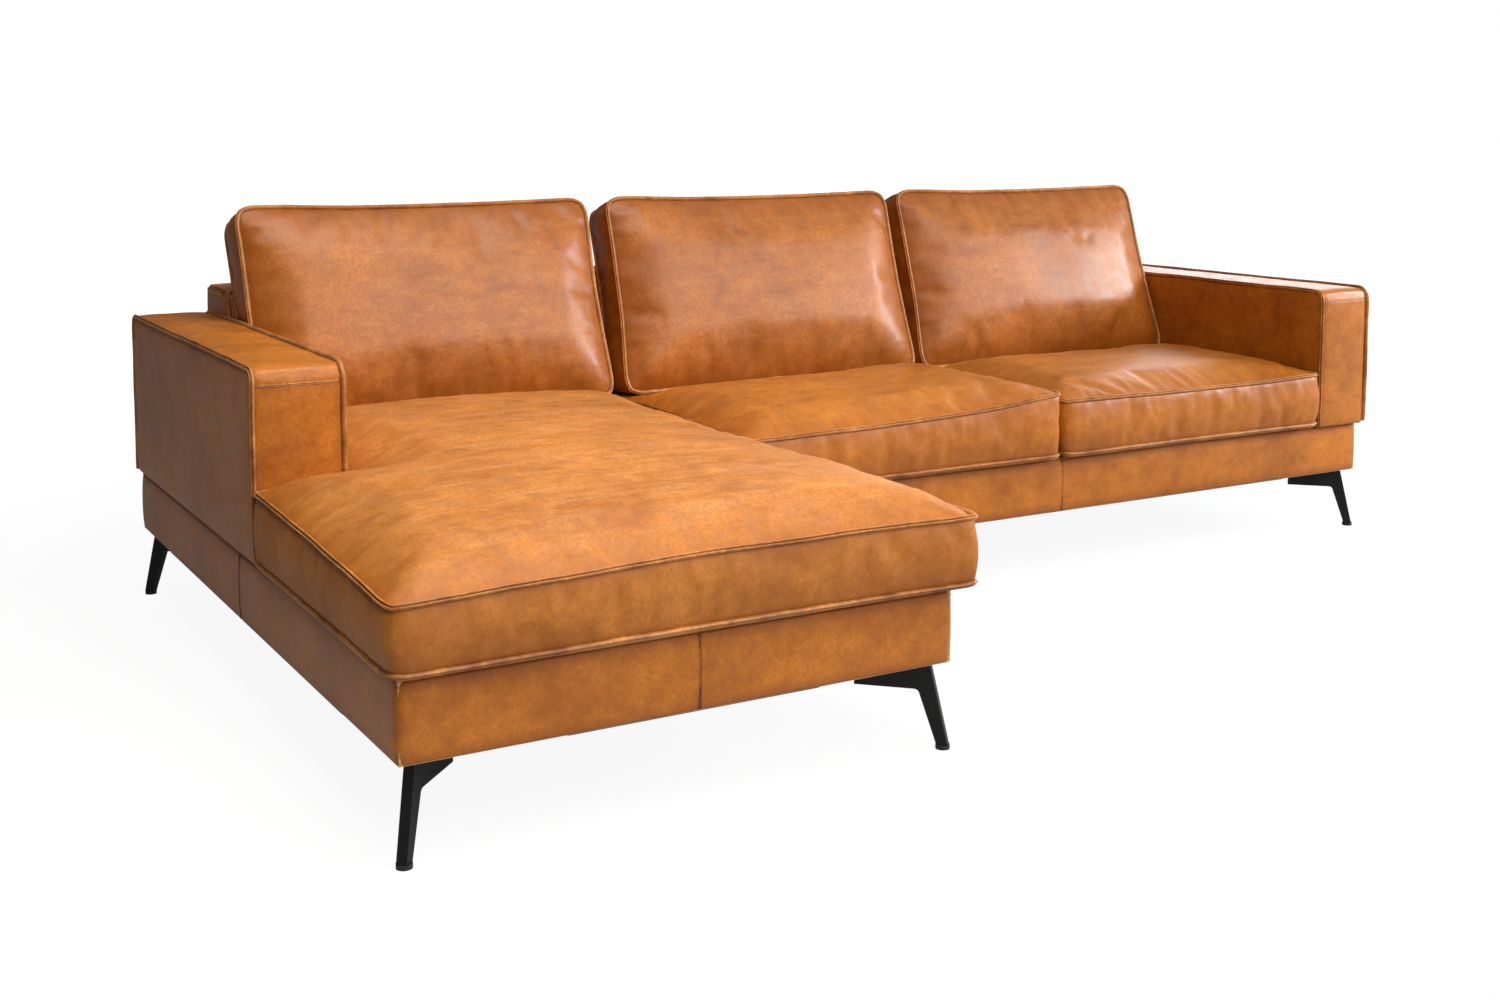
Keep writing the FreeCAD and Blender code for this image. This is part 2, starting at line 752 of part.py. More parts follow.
def seat_cushions():
    layers = ((0, FINE), (size("cover_wrap"), COARSE))
    gap = size("cushion_gap") + size("boxing_bulge")
    bottom = size("deck_top") + size("seat_gap")
    back_line = size("back_front") - gap
    arm_in = size("arm_width")
    seat = size("seat_width")
    front = -size("front_overhang")
    side = -size("side_overhang")
    lines = [0, arm_in + seat - gap - side, back_line - front, arm_in + gap - side,
             size("left_arm_front") - size("arm_front_gap") - gap - front, 0]
    forms = [seat_form(lines, CORNER_SIGNS, 4, size("chaise_seam"), size("chaise_crown"), *layer)
             for layer in layers]
    add_cushion("chaise_seat", forms[0], forms[1], side, front, bottom)
    front = size("sofa_front") - size("seat_overhang")
    lines = [0, seat - 2 * gap, back_line - front, 0]
    for number, name in ((1, "middle_seat"), (2, "right_seat")):
        forms = [seat_form(lines, BOX_SIGNS, None, size("seat_seam"), size("seat_crown"), *layer)
                 for layer in layers]
        add_cushion(name, forms[0], forms[1], arm_in + number * seat + gap, front, bottom)


def back_form(width, skin, grain):
    """A back cushion lying on its rear face, its width along X and its height along Y."""
    high = size("back_cushion_height")
    lines = [0, width, high, 0]
    run = size("crown_share") * min(width, high)
    seam = size("back_seam_set") + size("back_boxing")
    radius = size("back_corner") - skin

    def ring(height, inset, share=0):
        corners = rim(lines, BOX_SIGNS, [inset + skin] * 4)
        return level(corners, height, [radius * (1 - share / 2)] * 4, grain)

    levels = [
        ring(skin, size("back_rear_inset")),
        ring(size("back_seam_set"), 0),
        ring(size("back_seam_set") + size("back_boxing") / 2, -size("back_bulge")),
        ring(seam - skin, 0),
    ]
    steps = grain[2]
    for step in range(1, steps + 1):
        share = step / steps
        levels.append(ring(seam - skin + size("back_crown") * crown_curve(share), run * share, share))
    return facetted_loft(levels)


def back_cushions():
    """Three cushions that lean on the backs and are pressed flat where they stand on the seats."""
    lean = size("back_recline")
    gap = size("seat_gap")
    thick = size("back_seam_set") + size("back_boxing")
    rest = size("deck_top") + gap + size("rest_height") + size("rest_rise") + gap
    low = rest - thick * math.sin(math.radians(lean))
    rear = size("back_front") + (low - size("deck_top")) * size("back_lean")
    rear -= gap / math.cos(math.radians(lean))
    width = size("seat_width") - 2 * size("back_side_gap")
    tilt = FreeCAD.Placement(FreeCAD.Vector(), FreeCAD.Rotation(FreeCAD.Vector(1, 0, 0), 90 - lean))
    for number, name in enumerate(("left_back", "middle_back", "right_back")):
        shift = -size("back_shift") if number == 0 else size("back_shift")
        forms = []
        for skin, grain in ((0, FINE), (size("cover_wrap"), COARSE)):
            form = back_form(width, skin, grain)
            form.Placement = tilt
            under = Part.makeBox(2 * width, 4 * thick, 4 * thick,
                                 FreeCAD.Vector(-width / 2, -2 * thick, rest - low + skin - 4 * thick))
            forms.append(form.cut(under))
        left = size("arm_width") + number * size("seat_width") + size("back_side_gap") + shift
        add_cushion(name, forms[0], forms[1], left, rear, low)


for module, (left, width, front, depth) in MODULES.items():
    module_rails(module, left, width, front, depth)
    module_deck(module, left, width, front)
    module_covers(module, left, width, front, depth)
    module_legs(module)
chaise_cross_rails()
sofa_cross_rails()
sofa_supports()
connectors()
arm("left", "left_arm_front", "left_arm_length")
arm("right", "right_arm_front", "right_arm_length")
back("chaise", "arm_width", "chaise_width", 3)
back("sofa", "sofa_left", "base_length - arm_width", 5)
seat_cushions()
back_cushions()
doc.recompute()

failed = [thing.Label for thing in doc.Objects if {"Invalid", "Error"} & set(thing.State)]
if failed:
    raise RuntimeError(f"these features did not build: {failed}")
for part in parts:
    if part.Shape.isNull() or not part.Shape.isValid():
        raise RuntimeError(f"{part.Label} has no valid shape")

os.makedirs("parts", exist_ok=True)
for part in parts:
    part.Shape.exportStep(f"parts/{part.Label}.step")
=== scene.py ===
import json
import math
from dataclasses import dataclass

import bmesh
import bpy
from mathutils import Matrix, Vector, noise
from mathutils.bvhtree import BVHTree


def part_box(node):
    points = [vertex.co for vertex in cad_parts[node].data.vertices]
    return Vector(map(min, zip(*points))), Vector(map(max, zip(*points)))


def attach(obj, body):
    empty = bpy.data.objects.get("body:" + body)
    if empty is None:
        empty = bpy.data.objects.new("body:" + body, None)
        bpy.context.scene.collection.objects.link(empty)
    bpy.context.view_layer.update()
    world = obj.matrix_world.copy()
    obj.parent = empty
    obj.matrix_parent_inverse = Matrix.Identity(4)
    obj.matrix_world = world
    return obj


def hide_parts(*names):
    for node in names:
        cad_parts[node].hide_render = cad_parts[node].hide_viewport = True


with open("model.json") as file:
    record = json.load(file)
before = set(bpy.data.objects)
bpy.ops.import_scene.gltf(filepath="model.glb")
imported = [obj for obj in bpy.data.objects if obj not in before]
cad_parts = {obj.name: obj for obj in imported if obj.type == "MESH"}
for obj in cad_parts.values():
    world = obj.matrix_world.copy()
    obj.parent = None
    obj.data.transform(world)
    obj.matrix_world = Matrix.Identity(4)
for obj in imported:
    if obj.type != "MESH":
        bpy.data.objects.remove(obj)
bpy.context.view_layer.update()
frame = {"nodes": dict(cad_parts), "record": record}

MM = 0.001
UP = Vector((0, 0, 1))


# Camera, solved from the photograph's straight edges

CAMERA_PLACE = Vector((-2.078, -2.972, 0.990))
CAMERA_TURN = -0.5305
CAMERA_TILT = -0.087
LENS_MM = 42.13
SHIFT_UP = -0.15

camera_data = bpy.data.cameras.new("camera")
camera_data.lens = LENS_MM
camera_data.sensor_width = 36
camera_data.shift_y = SHIFT_UP
camera = bpy.data.objects.new("camera", camera_data)
camera.location = CAMERA_PLACE
camera.rotation_euler = (math.pi / 2 + CAMERA_TILT, 0, CAMERA_TURN)
bpy.context.scene.collection.objects.link(camera)
bpy.context.scene.camera = camera


# Materials

def linear(hex_colour):
    """Linear red, green, blue and alpha of an sRGB hex colour."""
    shares = [int(hex_colour[place:place + 2], 16) / 255 for place in (1, 3, 5)]
    return [s / 12.92 if s <= 0.04045 else ((s + 0.055) / 1.055) ** 2.4 for s in shares] + [1]


def add(tree, kind, inputs=None, **settings):
    """Adds a node with its settings, and sets or links its inputs, given by name or by number."""
    node = tree.nodes.new(kind)
    for name, value in settings.items():
        setattr(node, name, value)
    for name, value in (inputs or {}).items():
        if isinstance(value, bpy.types.NodeSocket):
            tree.links.new(value, node.inputs[name])
        else:
            node.inputs[name].default_value = value
    return node


def new_material(name):
    """An empty node material, and its tree, shader and object coordinates."""
    material = bpy.data.materials.new(name)
    material.use_nodes = True
    tree = material.node_tree
    tree.nodes.clear()
    shader = add(tree, "ShaderNodeBsdfPrincipled")
    add(tree, "ShaderNodeOutputMaterial", {"Surface": shader.outputs["BSDF"]})
    place = add(tree, "ShaderNodeTexCoord").outputs["Object"]
    return material, tree, shader, place


def aniline_cowhide(name, deep, tan, pale, shading, gloss=(0.34, 0.50), specular=0.42):
    """Aniline-dyed cowhide with a waxed pull-up finish.

    The dye soaks in unevenly, so the hide is mottled, and paler and streaked where it is drawn tight.
    On the crowns of the tops that paling is partly the real pull-up and partly a painted highlight for
    the light that falls there. Beside the seams and down in their grooves the hide is painted darker,
    a painted shade. The wax gives a soft broken gloss over a fine pebbled grain, between the two
    roughnesses given as gloss.
    """
    material, tree, shader, place = new_material(name)
    hide = add(tree, "ShaderNodeTexNoise", {"Vector": place, "Scale": 5, "Detail": 4, "Roughness": 0.6})
    mottle = add(tree, "ShaderNodeTexNoise",
                 {"Vector": place, "Scale": 26, "Detail": 6, "Roughness": 0.68, "Distortion": 0.3})
    dye = add(tree, "ShaderNodeMath", {0: hide.outputs["Fac"], 1: mottle.outputs["Fac"]}, operation="ADD")
    dye = add(tree, "ShaderNodeMapRange", {0: dye.outputs[0], 1: 0.70, 2: 1.30})
    colour = add(tree, "ShaderNodeMix", {0: dye.outputs[0], 6: linear(deep), 7: linear(tan)},
                 data_type="RGBA")
    # Fine pull-up streaks run along the seats where the hide is drawn tight, and the same paling of the
    # crowns of the tops is partly a painted highlight for the light that falls on them
    along = add(tree, "ShaderNodeMapping", {"Vector": place, "Scale": (9, 42, 42)})
    streak = add(tree, "ShaderNodeTexNoise",
                 {"Vector": along.outputs[0], "Scale": 1, "Detail": 6, "Roughness": 0.72, "Distortion": 0.3})
    streak = add(tree, "ShaderNodeMapRange", {0: streak.outputs["Fac"], 1: 0.35, 2: 0.75})
    stretched = add(tree, "ShaderNodeAttribute", attribute_name="stretched")
    pull_and_light = add(tree, "ShaderNodeMath", {0: stretched.outputs["Fac"], 1: 0.34}, operation="MULTIPLY")
    pull_and_light = add(tree, "ShaderNodeMath", {0: streak.outputs[0], 1: pull_and_light.outputs[0]}, operation="MULTIPLY")
    colour = add(tree, "ShaderNodeMix", {0: pull_and_light.outputs[0], 6: colour.outputs[2], 7: linear(pale)},
                 data_type="RGBA")
    # The bottoms of the pebbled grain hold more dye
    pores = add(tree, "ShaderNodeTexNoise", {"Vector": place, "Scale": 150, "Detail": 5, "Roughness": 0.8})
    pores = add(tree, "ShaderNodeMapRange", {0: pores.outputs["Fac"], 1: 0.42, 2: 0.70, 3: 0, 4: 0.75})
    colour = add(tree, "ShaderNodeMix", {0: pores.outputs[0], 6: colour.outputs[2], 7: linear(deep)},
                 data_type="RGBA")
    # Painted shade: the hide is drawn darker beside a seam and down in the grooves, as far as the shading
    # share says
    sewn = add(tree, "ShaderNodeAttribute", attribute_name="by_seam")
    shade = add(tree, "ShaderNodeMath", {0: sewn.outputs["Fac"], 1: shading}, operation="MULTIPLY")
    colour = add(tree, "ShaderNodeMix", {0: shade.outputs[0], 6: colour.outputs[2], 7: linear(deep)},
                 data_type="RGBA")
    tree.links.new(colour.outputs[2], shader.inputs["Base Color"])
    # Faint healed scratches, up to 60 mm long
    scratched = add(tree, "ShaderNodeMapping",
                    {"Vector": place, "Rotation": (0.4, 0.9, 0.7), "Scale": (14, 160, 160)})
    scratch = add(tree, "ShaderNodeTexNoise",
                  {"Vector": scratched.outputs[0], "Scale": 1, "Detail": 2, "Roughness": 0.5})
    scratch = add(tree, "ShaderNodeMapRange", {0: scratch.outputs["Fac"], 1: 0.70, 2: 0.78})
    waxed = add(tree, "ShaderNodeMapRange",
                {0: mottle.outputs["Fac"], 1: 0.3, 2: 0.7, 3: gloss[0], 4: gloss[1]})
    rough = add(tree, "ShaderNodeMath", {0: scratch.outputs[0], 1: 0.12, 2: waxed.outputs[0]},
                operation="MULTIPLY_ADD")
    tree.links.new(rough.outputs[0], shader.inputs["Roughness"])
    # The real grain is 1 mm across, and is drawn at 2.5 mm so that it shows
    grain = add(tree, "ShaderNodeTexVoronoi", {"Vector": place, "Scale": 400, "Smoothness": 0.6},
                feature="SMOOTH_F1")
    pebbled = add(tree, "ShaderNodeBump",
                  {"Height": grain.outputs["Distance"], "Strength": 0.35, "Distance": 0.0006})
    rippled = add(tree, "ShaderNodeBump",
                  {"Height": mottle.outputs["Fac"], "Strength": 0.30, "Distance": 0.0022,
                   "Normal": pebbled.outputs[0]})
    tree.links.new(rippled.outputs[0], shader.inputs["Normal"])
    shader.inputs["Specular IOR Level"].default_value = specular
    return material


def powder_coat():
    """Satin powder coat baked on cast metal, which leaves a faint orange peel in the gloss."""
    material, tree, shader, place = new_material("satin_powder_coat")
    peel = add(tree, "ShaderNodeTexNoise", {"Vector": place, "Scale": 700, "Detail": 2})
    bump = add(tree, "ShaderNodeBump",
               {"Height": peel.outputs["Fac"], "Strength": 0.25, "Distance": 0.0003})
    tree.links.new(bump.outputs[0], shader.inputs["Normal"])
    dust = add(tree, "ShaderNodeTexNoise", {"Vector": place, "Scale": 30, "Detail": 3})
    tone = add(tree, "ShaderNodeMix",
               {0: dust.outputs["Fac"], 6: linear("#0B0B0C"), 7: linear("#141416")}, data_type="RGBA")
    tree.links.new(tone.outputs[2], shader.inputs["Base Color"])
    shader.inputs["Roughness"].default_value = 0.5
    shader.inputs["Specular IOR Level"].default_value = 0.3
    return material


def moulded_nylon():
    """Moulded black nylon, dull and slightly uneven."""
    material, tree, shader, place = new_material("moulded_nylon")
    flow = add(tree, "ShaderNodeTexNoise", {"Vector": place, "Scale": 120, "Detail": 3})
    rough = add(tree, "ShaderNodeMapRange", {0: flow.outputs["Fac"], 3: 0.5, 4: 0.7})
    tree.links.new(rough.outputs[0], shader.inputs["Roughness"])
    tone = add(tree, "ShaderNodeMix",
               {0: flow.outputs["Fac"], 6: linear("#151516"), 7: linear("#222224")}, data_type="RGBA")
    tree.links.new(tone.outputs[2], shader.inputs["Base Color"])
    return material


def zinc_plate():
    """Bright zinc-plated steel with the clouded sheen of the passivating bath."""
    material, tree, shader, place = new_material("zinc_plate")
    cloud = add(tree, "ShaderNodeTexNoise", {"Vector": place, "Scale": 90, "Detail": 4})
    tone = add(tree, "ShaderNodeMix",
               {0: cloud.outputs["Fac"], 6: linear("#A9ABAA"), 7: linear("#CFCDC2")}, data_type="RGBA")
    rough = add(tree, "ShaderNodeMapRange", {0: cloud.outputs["Fac"], 3: 0.22, 4: 0.4})
    tree.links.new(tone.outputs[2], shader.inputs["Base Color"])
    tree.links.new(rough.outputs[0], shader.inputs["Roughness"])
    shader.inputs["Metallic"].default_value = 1
    return material


# A wave texture of scale 1 draws about this many bands a metre, dark and light by turns
BANDS_PER_METRE = 6.28


def band_scale(width_mm):
    """The scale of a wave texture whose bands are this wide."""
    return 1 / (BANDS_PER_METRE * width_mm * MM)


def planed_timber(name, early, late, ring_mm, roughness):
    """Planed unfinished timber or board, with growth rings drawn out along the grain."""
    material, tree, shader, place = new_material(name)
    drawn = add(tree, "ShaderNodeMapping", {"Vector": place, "Scale": (0.06, 0.06, 1)})
    rings = add(tree, "ShaderNodeTexWave",
                {"Vector": drawn.outputs[0], "Scale": band_scale(ring_mm), "Distortion": 5,
                 "Detail": 3, "Detail Scale": 1.5}, bands_direction="Z")
    fibre = add(tree, "ShaderNodeTexNoise", {"Vector": drawn.outputs[0], "Scale": 900, "Detail": 2})
    figure = add(tree, "ShaderNodeMath", {0: fibre.outputs["Fac"], 1: 0.3, 2: rings.outputs["Fac"]},
                 operation="MULTIPLY_ADD")
    tone = add(tree, "ShaderNodeMix", {0: figure.outputs[0], 6: linear(early), 7: linear(late)},
               data_type="RGBA")
    tree.links.new(tone.outputs[2], shader.inputs["Base Color"])
    bump = add(tree, "ShaderNodeBump",
               {"Height": figure.outputs[0], "Strength": 0.2, "Distance": 0.0004})
    tree.links.new(bump.outputs[0], shader.inputs["Normal"])
    shader.inputs["Roughness"].default_value = roughness
    return material


def plain_cloth(name, low, high, thread_mm, sheen):
    """Cloth with its threads crossing square to each other."""
    material, tree, shader, place = new_material(name)
    warp, weft = (
        add(tree, "ShaderNodeTexWave", {"Vector": place, "Scale": band_scale(thread_mm),
                                        "Distortion": 0.3}, bands_direction=way)
        for way in "XY")
    threads = add(tree, "ShaderNodeMath", {0: warp.outputs["Fac"], 1: weft.outputs["Fac"]},
                  operation="MULTIPLY")
    tone = add(tree, "ShaderNodeMix", {0: threads.outputs[0], 6: linear(low), 7: linear(high)},
               data_type="RGBA")
    tree.links.new(tone.outputs[2], shader.inputs["Base Color"])
    bump = add(tree, "ShaderNodeBump",
               {"Height": threads.outputs[0], "Strength": 0.4, "Distance": 0.0004})
    tree.links.new(bump.outputs[0], shader.inputs["Normal"])
    shader.inputs["Roughness"].default_value = 0.85
    shader.inputs["Sheen Weight"].default_value = sheen
    return material


def open_foam():
    """Cut polyurethane foam, whose open cells scatter the light."""
    material, tree, shader, place = new_material("open_cell_foam")
    cells = add(tree, "ShaderNodeTexVoronoi", {"Vector": place, "Scale": 500})
    tone = add(tree, "ShaderNodeMix",
               {0: cells.outputs["Distance"], 6: linear("#B9AE8C"), 7: linear("#EFE7CB")},
               data_type="RGBA")
    bump = add(tree, "ShaderNodeBump",
               {"Height": cells.outputs["Distance"], "Strength": 0.5, "Distance": 0.0008})
    tree.links.new(tone.outputs[2], shader.inputs["Base Color"])
    tree.links.new(bump.outputs[0], shader.inputs["Normal"])
    shader.inputs["Roughness"].default_value = 0.95
    return material


HIDE = aniline_cowhide("aniline_cowhide", "#96500A", "#D27C1C", "#E2A566", 0.5)
# The chaise seat is worn matt, and the cushions that are leant on are waxed to a gloss
HIDE_WORN = aniline_cowhide("aniline_cowhide_worn", "#97520F", "#D2832E", "#E8B888", 0.5,
                            (0.48, 0.62), 0.35)
HIDE_WAXED = aniline_cowhide("aniline_cowhide_waxed", "#8A470A", "#C9731C", "#DCA066", 0.7,
                             (0.34, 0.46), 0.52)
# The lapped seams of the fixed covers get a darker painted shade where they sink
HIDE_SHADED_SEAM = aniline_cowhide("cowhide_seam", "#4E2607", "#D27C1C", "#E2A566", 0.9)
# The welts and the arms' front seams are drawn paler, a painted highlight for the light on their lips, with
# painted shade in their grooves
HIDE_LIPS_LIT_AND_SHADED = aniline_cowhide("cowhide_cut_edge", "#7A3F12", "#E59D55", "#EDB98A", 0.7)
THREAD = plain_cloth("bonded_thread", "#8A4B1C", "#B9702F", 0.5, 0.1)
COAT = powder_coat()
NYLON = moulded_nylon()
ZINC = zinc_plate()
PINE = planed_timber("planed_pine", "#D9B888", "#B98A52", 4, 0.65)
BOARD = planed_timber("smooth_hardboard", "#8C6A45", "#6F5033", 1.2, 0.55)
FOAM = open_foam()
DUST_CLOTH = plain_cloth("spun_bonded_cloth", "#0E0E0F", "#222224", 1.2, 0.05)
WEBBING = plain_cloth("woven_webbing", "#2A241D", "#4A4034", 2.0, 0.2)
DECK_CLOTH = plain_cloth("platform_cloth", "#3A2114", "#5A3520", 1.4, 0.15)

NODE_MATERIALS = {
    "leather": HIDE,
    "foam": FOAM,
    "dust_cloth": DUST_CLOTH,
    "webbing": WEBBING,
    "leg_metal": COAT,
    "glide_plastic": NYLON,
    "plated_steel": ZINC,
    "frame_wood": PINE,
    "panel_board": BOARD,
}

for subpart in frame["record"]["subparts"]:
    mesh = frame["nodes"][subpart["node"]].data
    mesh.materials.clear()
    mesh.materials.append(NODE_MATERIALS[subpart["material_slot"]])


# Building helpers

def new_piece(name, bm, material, body, stands_for=()):
    """Makes a mesh object that rides on a body and stands for the CAD nodes named."""
    mesh = bpy.data.meshes.new(name)
    bm.to_mesh(mesh)
    bm.free()
    for polygon in mesh.polygons:
        polygon.use_smooth = True
    mesh.materials.append(material)
    piece = bpy.data.objects.new(name, mesh)
    bpy.context.scene.collection.objects.link(piece)
    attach(piece, body)
    if stands_for:
        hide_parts(*stands_for)
    return piece


def keep_result(piece):
    """Makes the shape that a piece's modifiers give it its own mesh."""
    bpy.context.view_layer.update()
    graph = bpy.context.evaluated_depsgraph_get()
    made = bpy.data.meshes.new_from_object(piece.evaluated_get(graph))
    piece.modifiers.clear()
    old = piece.data
    piece.data = made
    bpy.data.meshes.remove(old)


def ripple(point, wave_mm, seed):
    """Smooth noise from -1 to 1 with about the given wavelength, different for each seed."""
    return noise.noise(point / (wave_mm * MM) + Vector((seed * 7.3, seed * 3.1, seed * 5.7)))


def rise(distance, run):
    """How far a filled panel has risen at a distance inside its seam, from 0 to 1."""
    return 1 - (1 - min(max(distance / run, 0), 1)) ** 2.5


def soft_min(a, b, blend):
    """The smaller of two values, rounded where they cross."""
    share = min(max(0.5 + 0.5 * (b - a) / blend, 0), 1)
    return b + (a - b) * share - blend * share * (1 - share)


def places_along(points, outs, closed):
    """A place at each point of a path: X across it, Y out of the surface and Z along it."""
    count = len(points)
    places = []
    for index, here in enumerate(points):
        before = points[index - 1] if closed or index else here
        after = points[(index + 1) % count] if closed or index + 1 < count else here
        along = (after - before).normalized()
        across = outs[index].cross(along).normalized()
        out = along.cross(across)
        places.append(Matrix.Translation(here) @ Matrix((across, out, along)).transposed().to_4x4())
    return places


# Half the width of the groove along a welt or seam, which gets the full painted shade, as its foot does
GROOVE = 0.0005


def sweep(bm, outline, places, closed):
    """Carries a closed outline along a path: a grid rolled into a tube and laid on the places."""
    around = len(outline)
    steps = len(places) - (0 if closed else 1)
    by_seam = bm.verts.layers.float.get("by_seam") or bm.verts.layers.float.new("by_seam")
    made = bmesh.ops.create_grid(bm, x_segments=around, y_segments=steps, size=0.5)["verts"]
    for vert in made:
        u, v = outline[round((vert.co.x + 0.5) * around) % around]
        # Painted shade: the groove, and every point of the outline below the surface, is marked fully shaded
        vert[by_seam] = 1 if abs(u) < GROOVE or v < 0 else 0
        vert.co = places[round((vert.co.y + 0.5) * steps) % len(places)] @ Vector((u, v, 0))
    bmesh.ops.remove_doubles(bm, verts=made, dist=1e-6)
    if not closed:
        open_edges = [edge for edge in bm.edges if edge.is_boundary]
        bmesh.ops.holes_fill(bm, edges=open_edges, sides=around)


# A welt is two turned leather edges side by side with the stitch line sunk between them
WELT = [(-3.8, -3.0), (-4.0, 3.2), (-3.5, 5.6), (-2.3, 6.6), (-1.1, 5.8), (-0.4, 1.6),
        (0.4, 1.6), (1.1, 5.8), (2.3, 6.6), (3.5, 5.6), (4.0, 3.2), (3.8, -3.0)]
# A plain seam is one edge lapped over the other
SEAM = [(-2.6, -1.5), (-2.4, 0.5), (-1.2, 1.3), (-0.3, 0.05), (0.3, 0.05), (1.1, 0.9), (2.3, 0.4),
        (2.6, -1.5)]


def scaled(outline, factor=1.0):
    """An outline drawn in millimetres, in metres and at a share of its size."""
    return [(u * MM * factor, v * MM * factor) for u, v in outline]


def sew(name, runs, outline, material, body, closed=False):
    """Welts or seams along paths, each given as its points and the ways out of the surface."""
    bm = bmesh.new()
    for points, outs in runs:
        sweep(bm, outline, places_along(points, outs, closed), closed)
    bmesh.ops.recalc_face_normals(bm, faces=bm.faces)
    new_piece(name, bm, material, body)


def spaced(points, step, closed=False):
    """Points along a path of straight runs, about a step apart."""
    ends = points + points[:1] if closed else points
    made = []
    for start, end in zip(ends, ends[1:]):
        count = max(1, round((end - start).length / step))
        made += [start.lerp(end, index / count) for index in range(count)]
    return made if closed else made + [ends[-1]]


def tidy_line(points, closed, rounds=2):
    """A path with its small kinks drawn straight."""
    for _ in range(rounds):
        count = len(points)
        points = [
            (points[index - 1] + points[index] * 2 + points[(index + 1) % count]) / 4
            if closed or 0 < index < count - 1 else points[index]
            for index in range(count)
        ]
    return points


# Seat and back cushions

# The filling lifts the top quickly beside a seam and slowly across the cushion: shares and runs
CROWN_RUNS = ((0.6, 0.085), (0.4, 0.36))
SEAT_BULGE = 0.006
BACK_BULGE = 0.004


@dataclass
class Cushion:
    """A boxed cushion in its own frame: x across, y deep or tall, z from its base to its crown."""

    name: str
    place: Matrix
    width: float
    depth: float
    # Heights of the lower seam and the upper one, and of the crown above the upper one
    base: float
    seam: float
    crown: float
    radius: float
    # Where the corner that the arm takes up starts, across and deep
    notch: tuple = None
    # How far in from its edge the underside has come down flat
    base_run: float = 0.016
    bulge: float = SEAT_BULGE
    # How far each side pulls in between its corners
    draw: float = 0.008
    # How near to its front right corner a seam stands out as an ear
    ear: float = 0
    # The height under the back cushion, and how far forward of the rear edge it reaches
    rest: tuple = None
    # Hollows: place across and deep, reach and depth
    dents: tuple = ()
    # The lift of the upper seam, the share of the crown and the plan, each at a point
    seam_lift: object = lambda x, y: 0
    full: object = lambda x, y: 1
    grow: object = lambda x, y: (x, y)

    def edge_gaps(self, x, y):
        """Distances in from the left, right, front and back edges, and from the notch."""
        gaps = [x, self.width - x, y, self.depth - y]
        if self.notch:
            side, front = self.notch
            gaps.append(math.hypot(max(x - side, 0), max(front - y, 0)))
        return gaps

    def fullness(self, x, y):
        """The share of its crown that the top panel has at a point."""
        share = self.full(x, y)
        for gap in self.edge_gaps(x, y):
            share *= sum(part * rise(gap, run) for part, run in CROWN_RUNS)
        return share


# The size of a cover's cells, and the rows of them up its boxing
CELL = 0.0145
ROWS = 8


def blank(cushion):
    """A closed block of fine cells with the cushion's outline, its seam lines marked as sewn."""
    bm = bmesh.new()
    bmesh.ops.create_grid(bm, x_segments=round(cushion.width / CELL),
                          y_segments=round(cushion.depth / CELL), size=0.5)
    bmesh.ops.translate(bm, vec=(0.5, 0.5, 0), verts=bm.verts)
    bmesh.ops.scale(bm, vec=(cushion.width, cushion.depth, 1), verts=bm.verts)
    if cushion.notch:
        side, front = cushion.notch
        for place, normal in (((side, 0, 0), (1, 0, 0)), ((0, front, 0), (0, 1, 0))):
            geometry = bm.verts[:] + bm.edges[:] + bm.faces[:]
            bmesh.ops.bisect_plane(bm, geom=geometry, dist=1e-5, plane_co=place, plane_no=normal)
        inside = [face for face in bm.faces
                  if face.calc_center_median().x < side and face.calc_center_median().y > front]
        bmesh.ops.delete(bm, geom=inside, context="FACES")
    made = bmesh.ops.extrude_face_region(bm, geom=bm.faces[:], use_keep_orig=True)["geom"]
    top = [item for item in made if isinstance(item, bmesh.types.BMVert)]
    bmesh.ops.translate(bm, vec=(0, 0, 1), verts=top)
    upright = [edge for edge in bm.edges if abs(edge.verts[0].co.z - edge.verts[1].co.z) > 0.5]
    bmesh.ops.subdivide_edges(bm, edges=upright, cuts=ROWS - 1, use_grid_fill=True)
    bmesh.ops.recalc_face_normals(bm, faces=bm.faces)
    bm.normal_update()
    sewn = bm.verts.layers.float.new("sewn")
    for edge in bm.edges:
        flat = [abs(face.normal.z) > 0.5 for face in edge.link_faces]
        if any(flat) and not all(flat):
            for vert in edge.verts:
                vert[sewn] = 1
    return bm


def rounded_plan(cushion, x, y):
    """Moves a point of the square plan into the plan with rounded corners."""
    radius = cushion.radius
    corners = [(0, 0, 1, 1), (cushion.width, 0, -1, 1), (cushion.width, cushion.depth, -1, -1)]
    if cushion.notch:
        side, front = cushion.notch
        corners += [(0, front, 1, -1), (side, cushion.depth, 1, -1)]
    else:
        corners.append((0, cushion.depth, 1, -1))
    for corner_x, corner_y, way_x, way_y in corners:
        across = 1 - (x - corner_x) * way_x / radius
        along = 1 - (y - corner_y) * way_y / radius
        if 0 < across <= 1.001 and 0 < along <= 1.001:
            reach = max(across, along) / math.hypot(across, along)
            x = corner_x + way_x * radius * (1 - across * reach)
            y = corner_y + way_y * radius * (1 - along * reach)
            break
    return x, y


# How far a seam keeps toward the square corner where its lips stand out as an ear
EAR_SHARE = 0.7
# The slope in front of the place where the back cushion rests, and the length it is rounded over
REST_SLOPE = 1.1
REST_BLEND = 0.012
# How far from a seam the painted shade reaches, and how much of the paling, partly real pull-up and partly
# painted light, the boxing gets
SEAM_SHADE = 0.036
BOXING_PULL_AND_LIGHT = 0.15
# The slow waves of the filling, and the share of them that the flat underside has
WAVE = 0.0022
UNDER_WAVE = 0.2


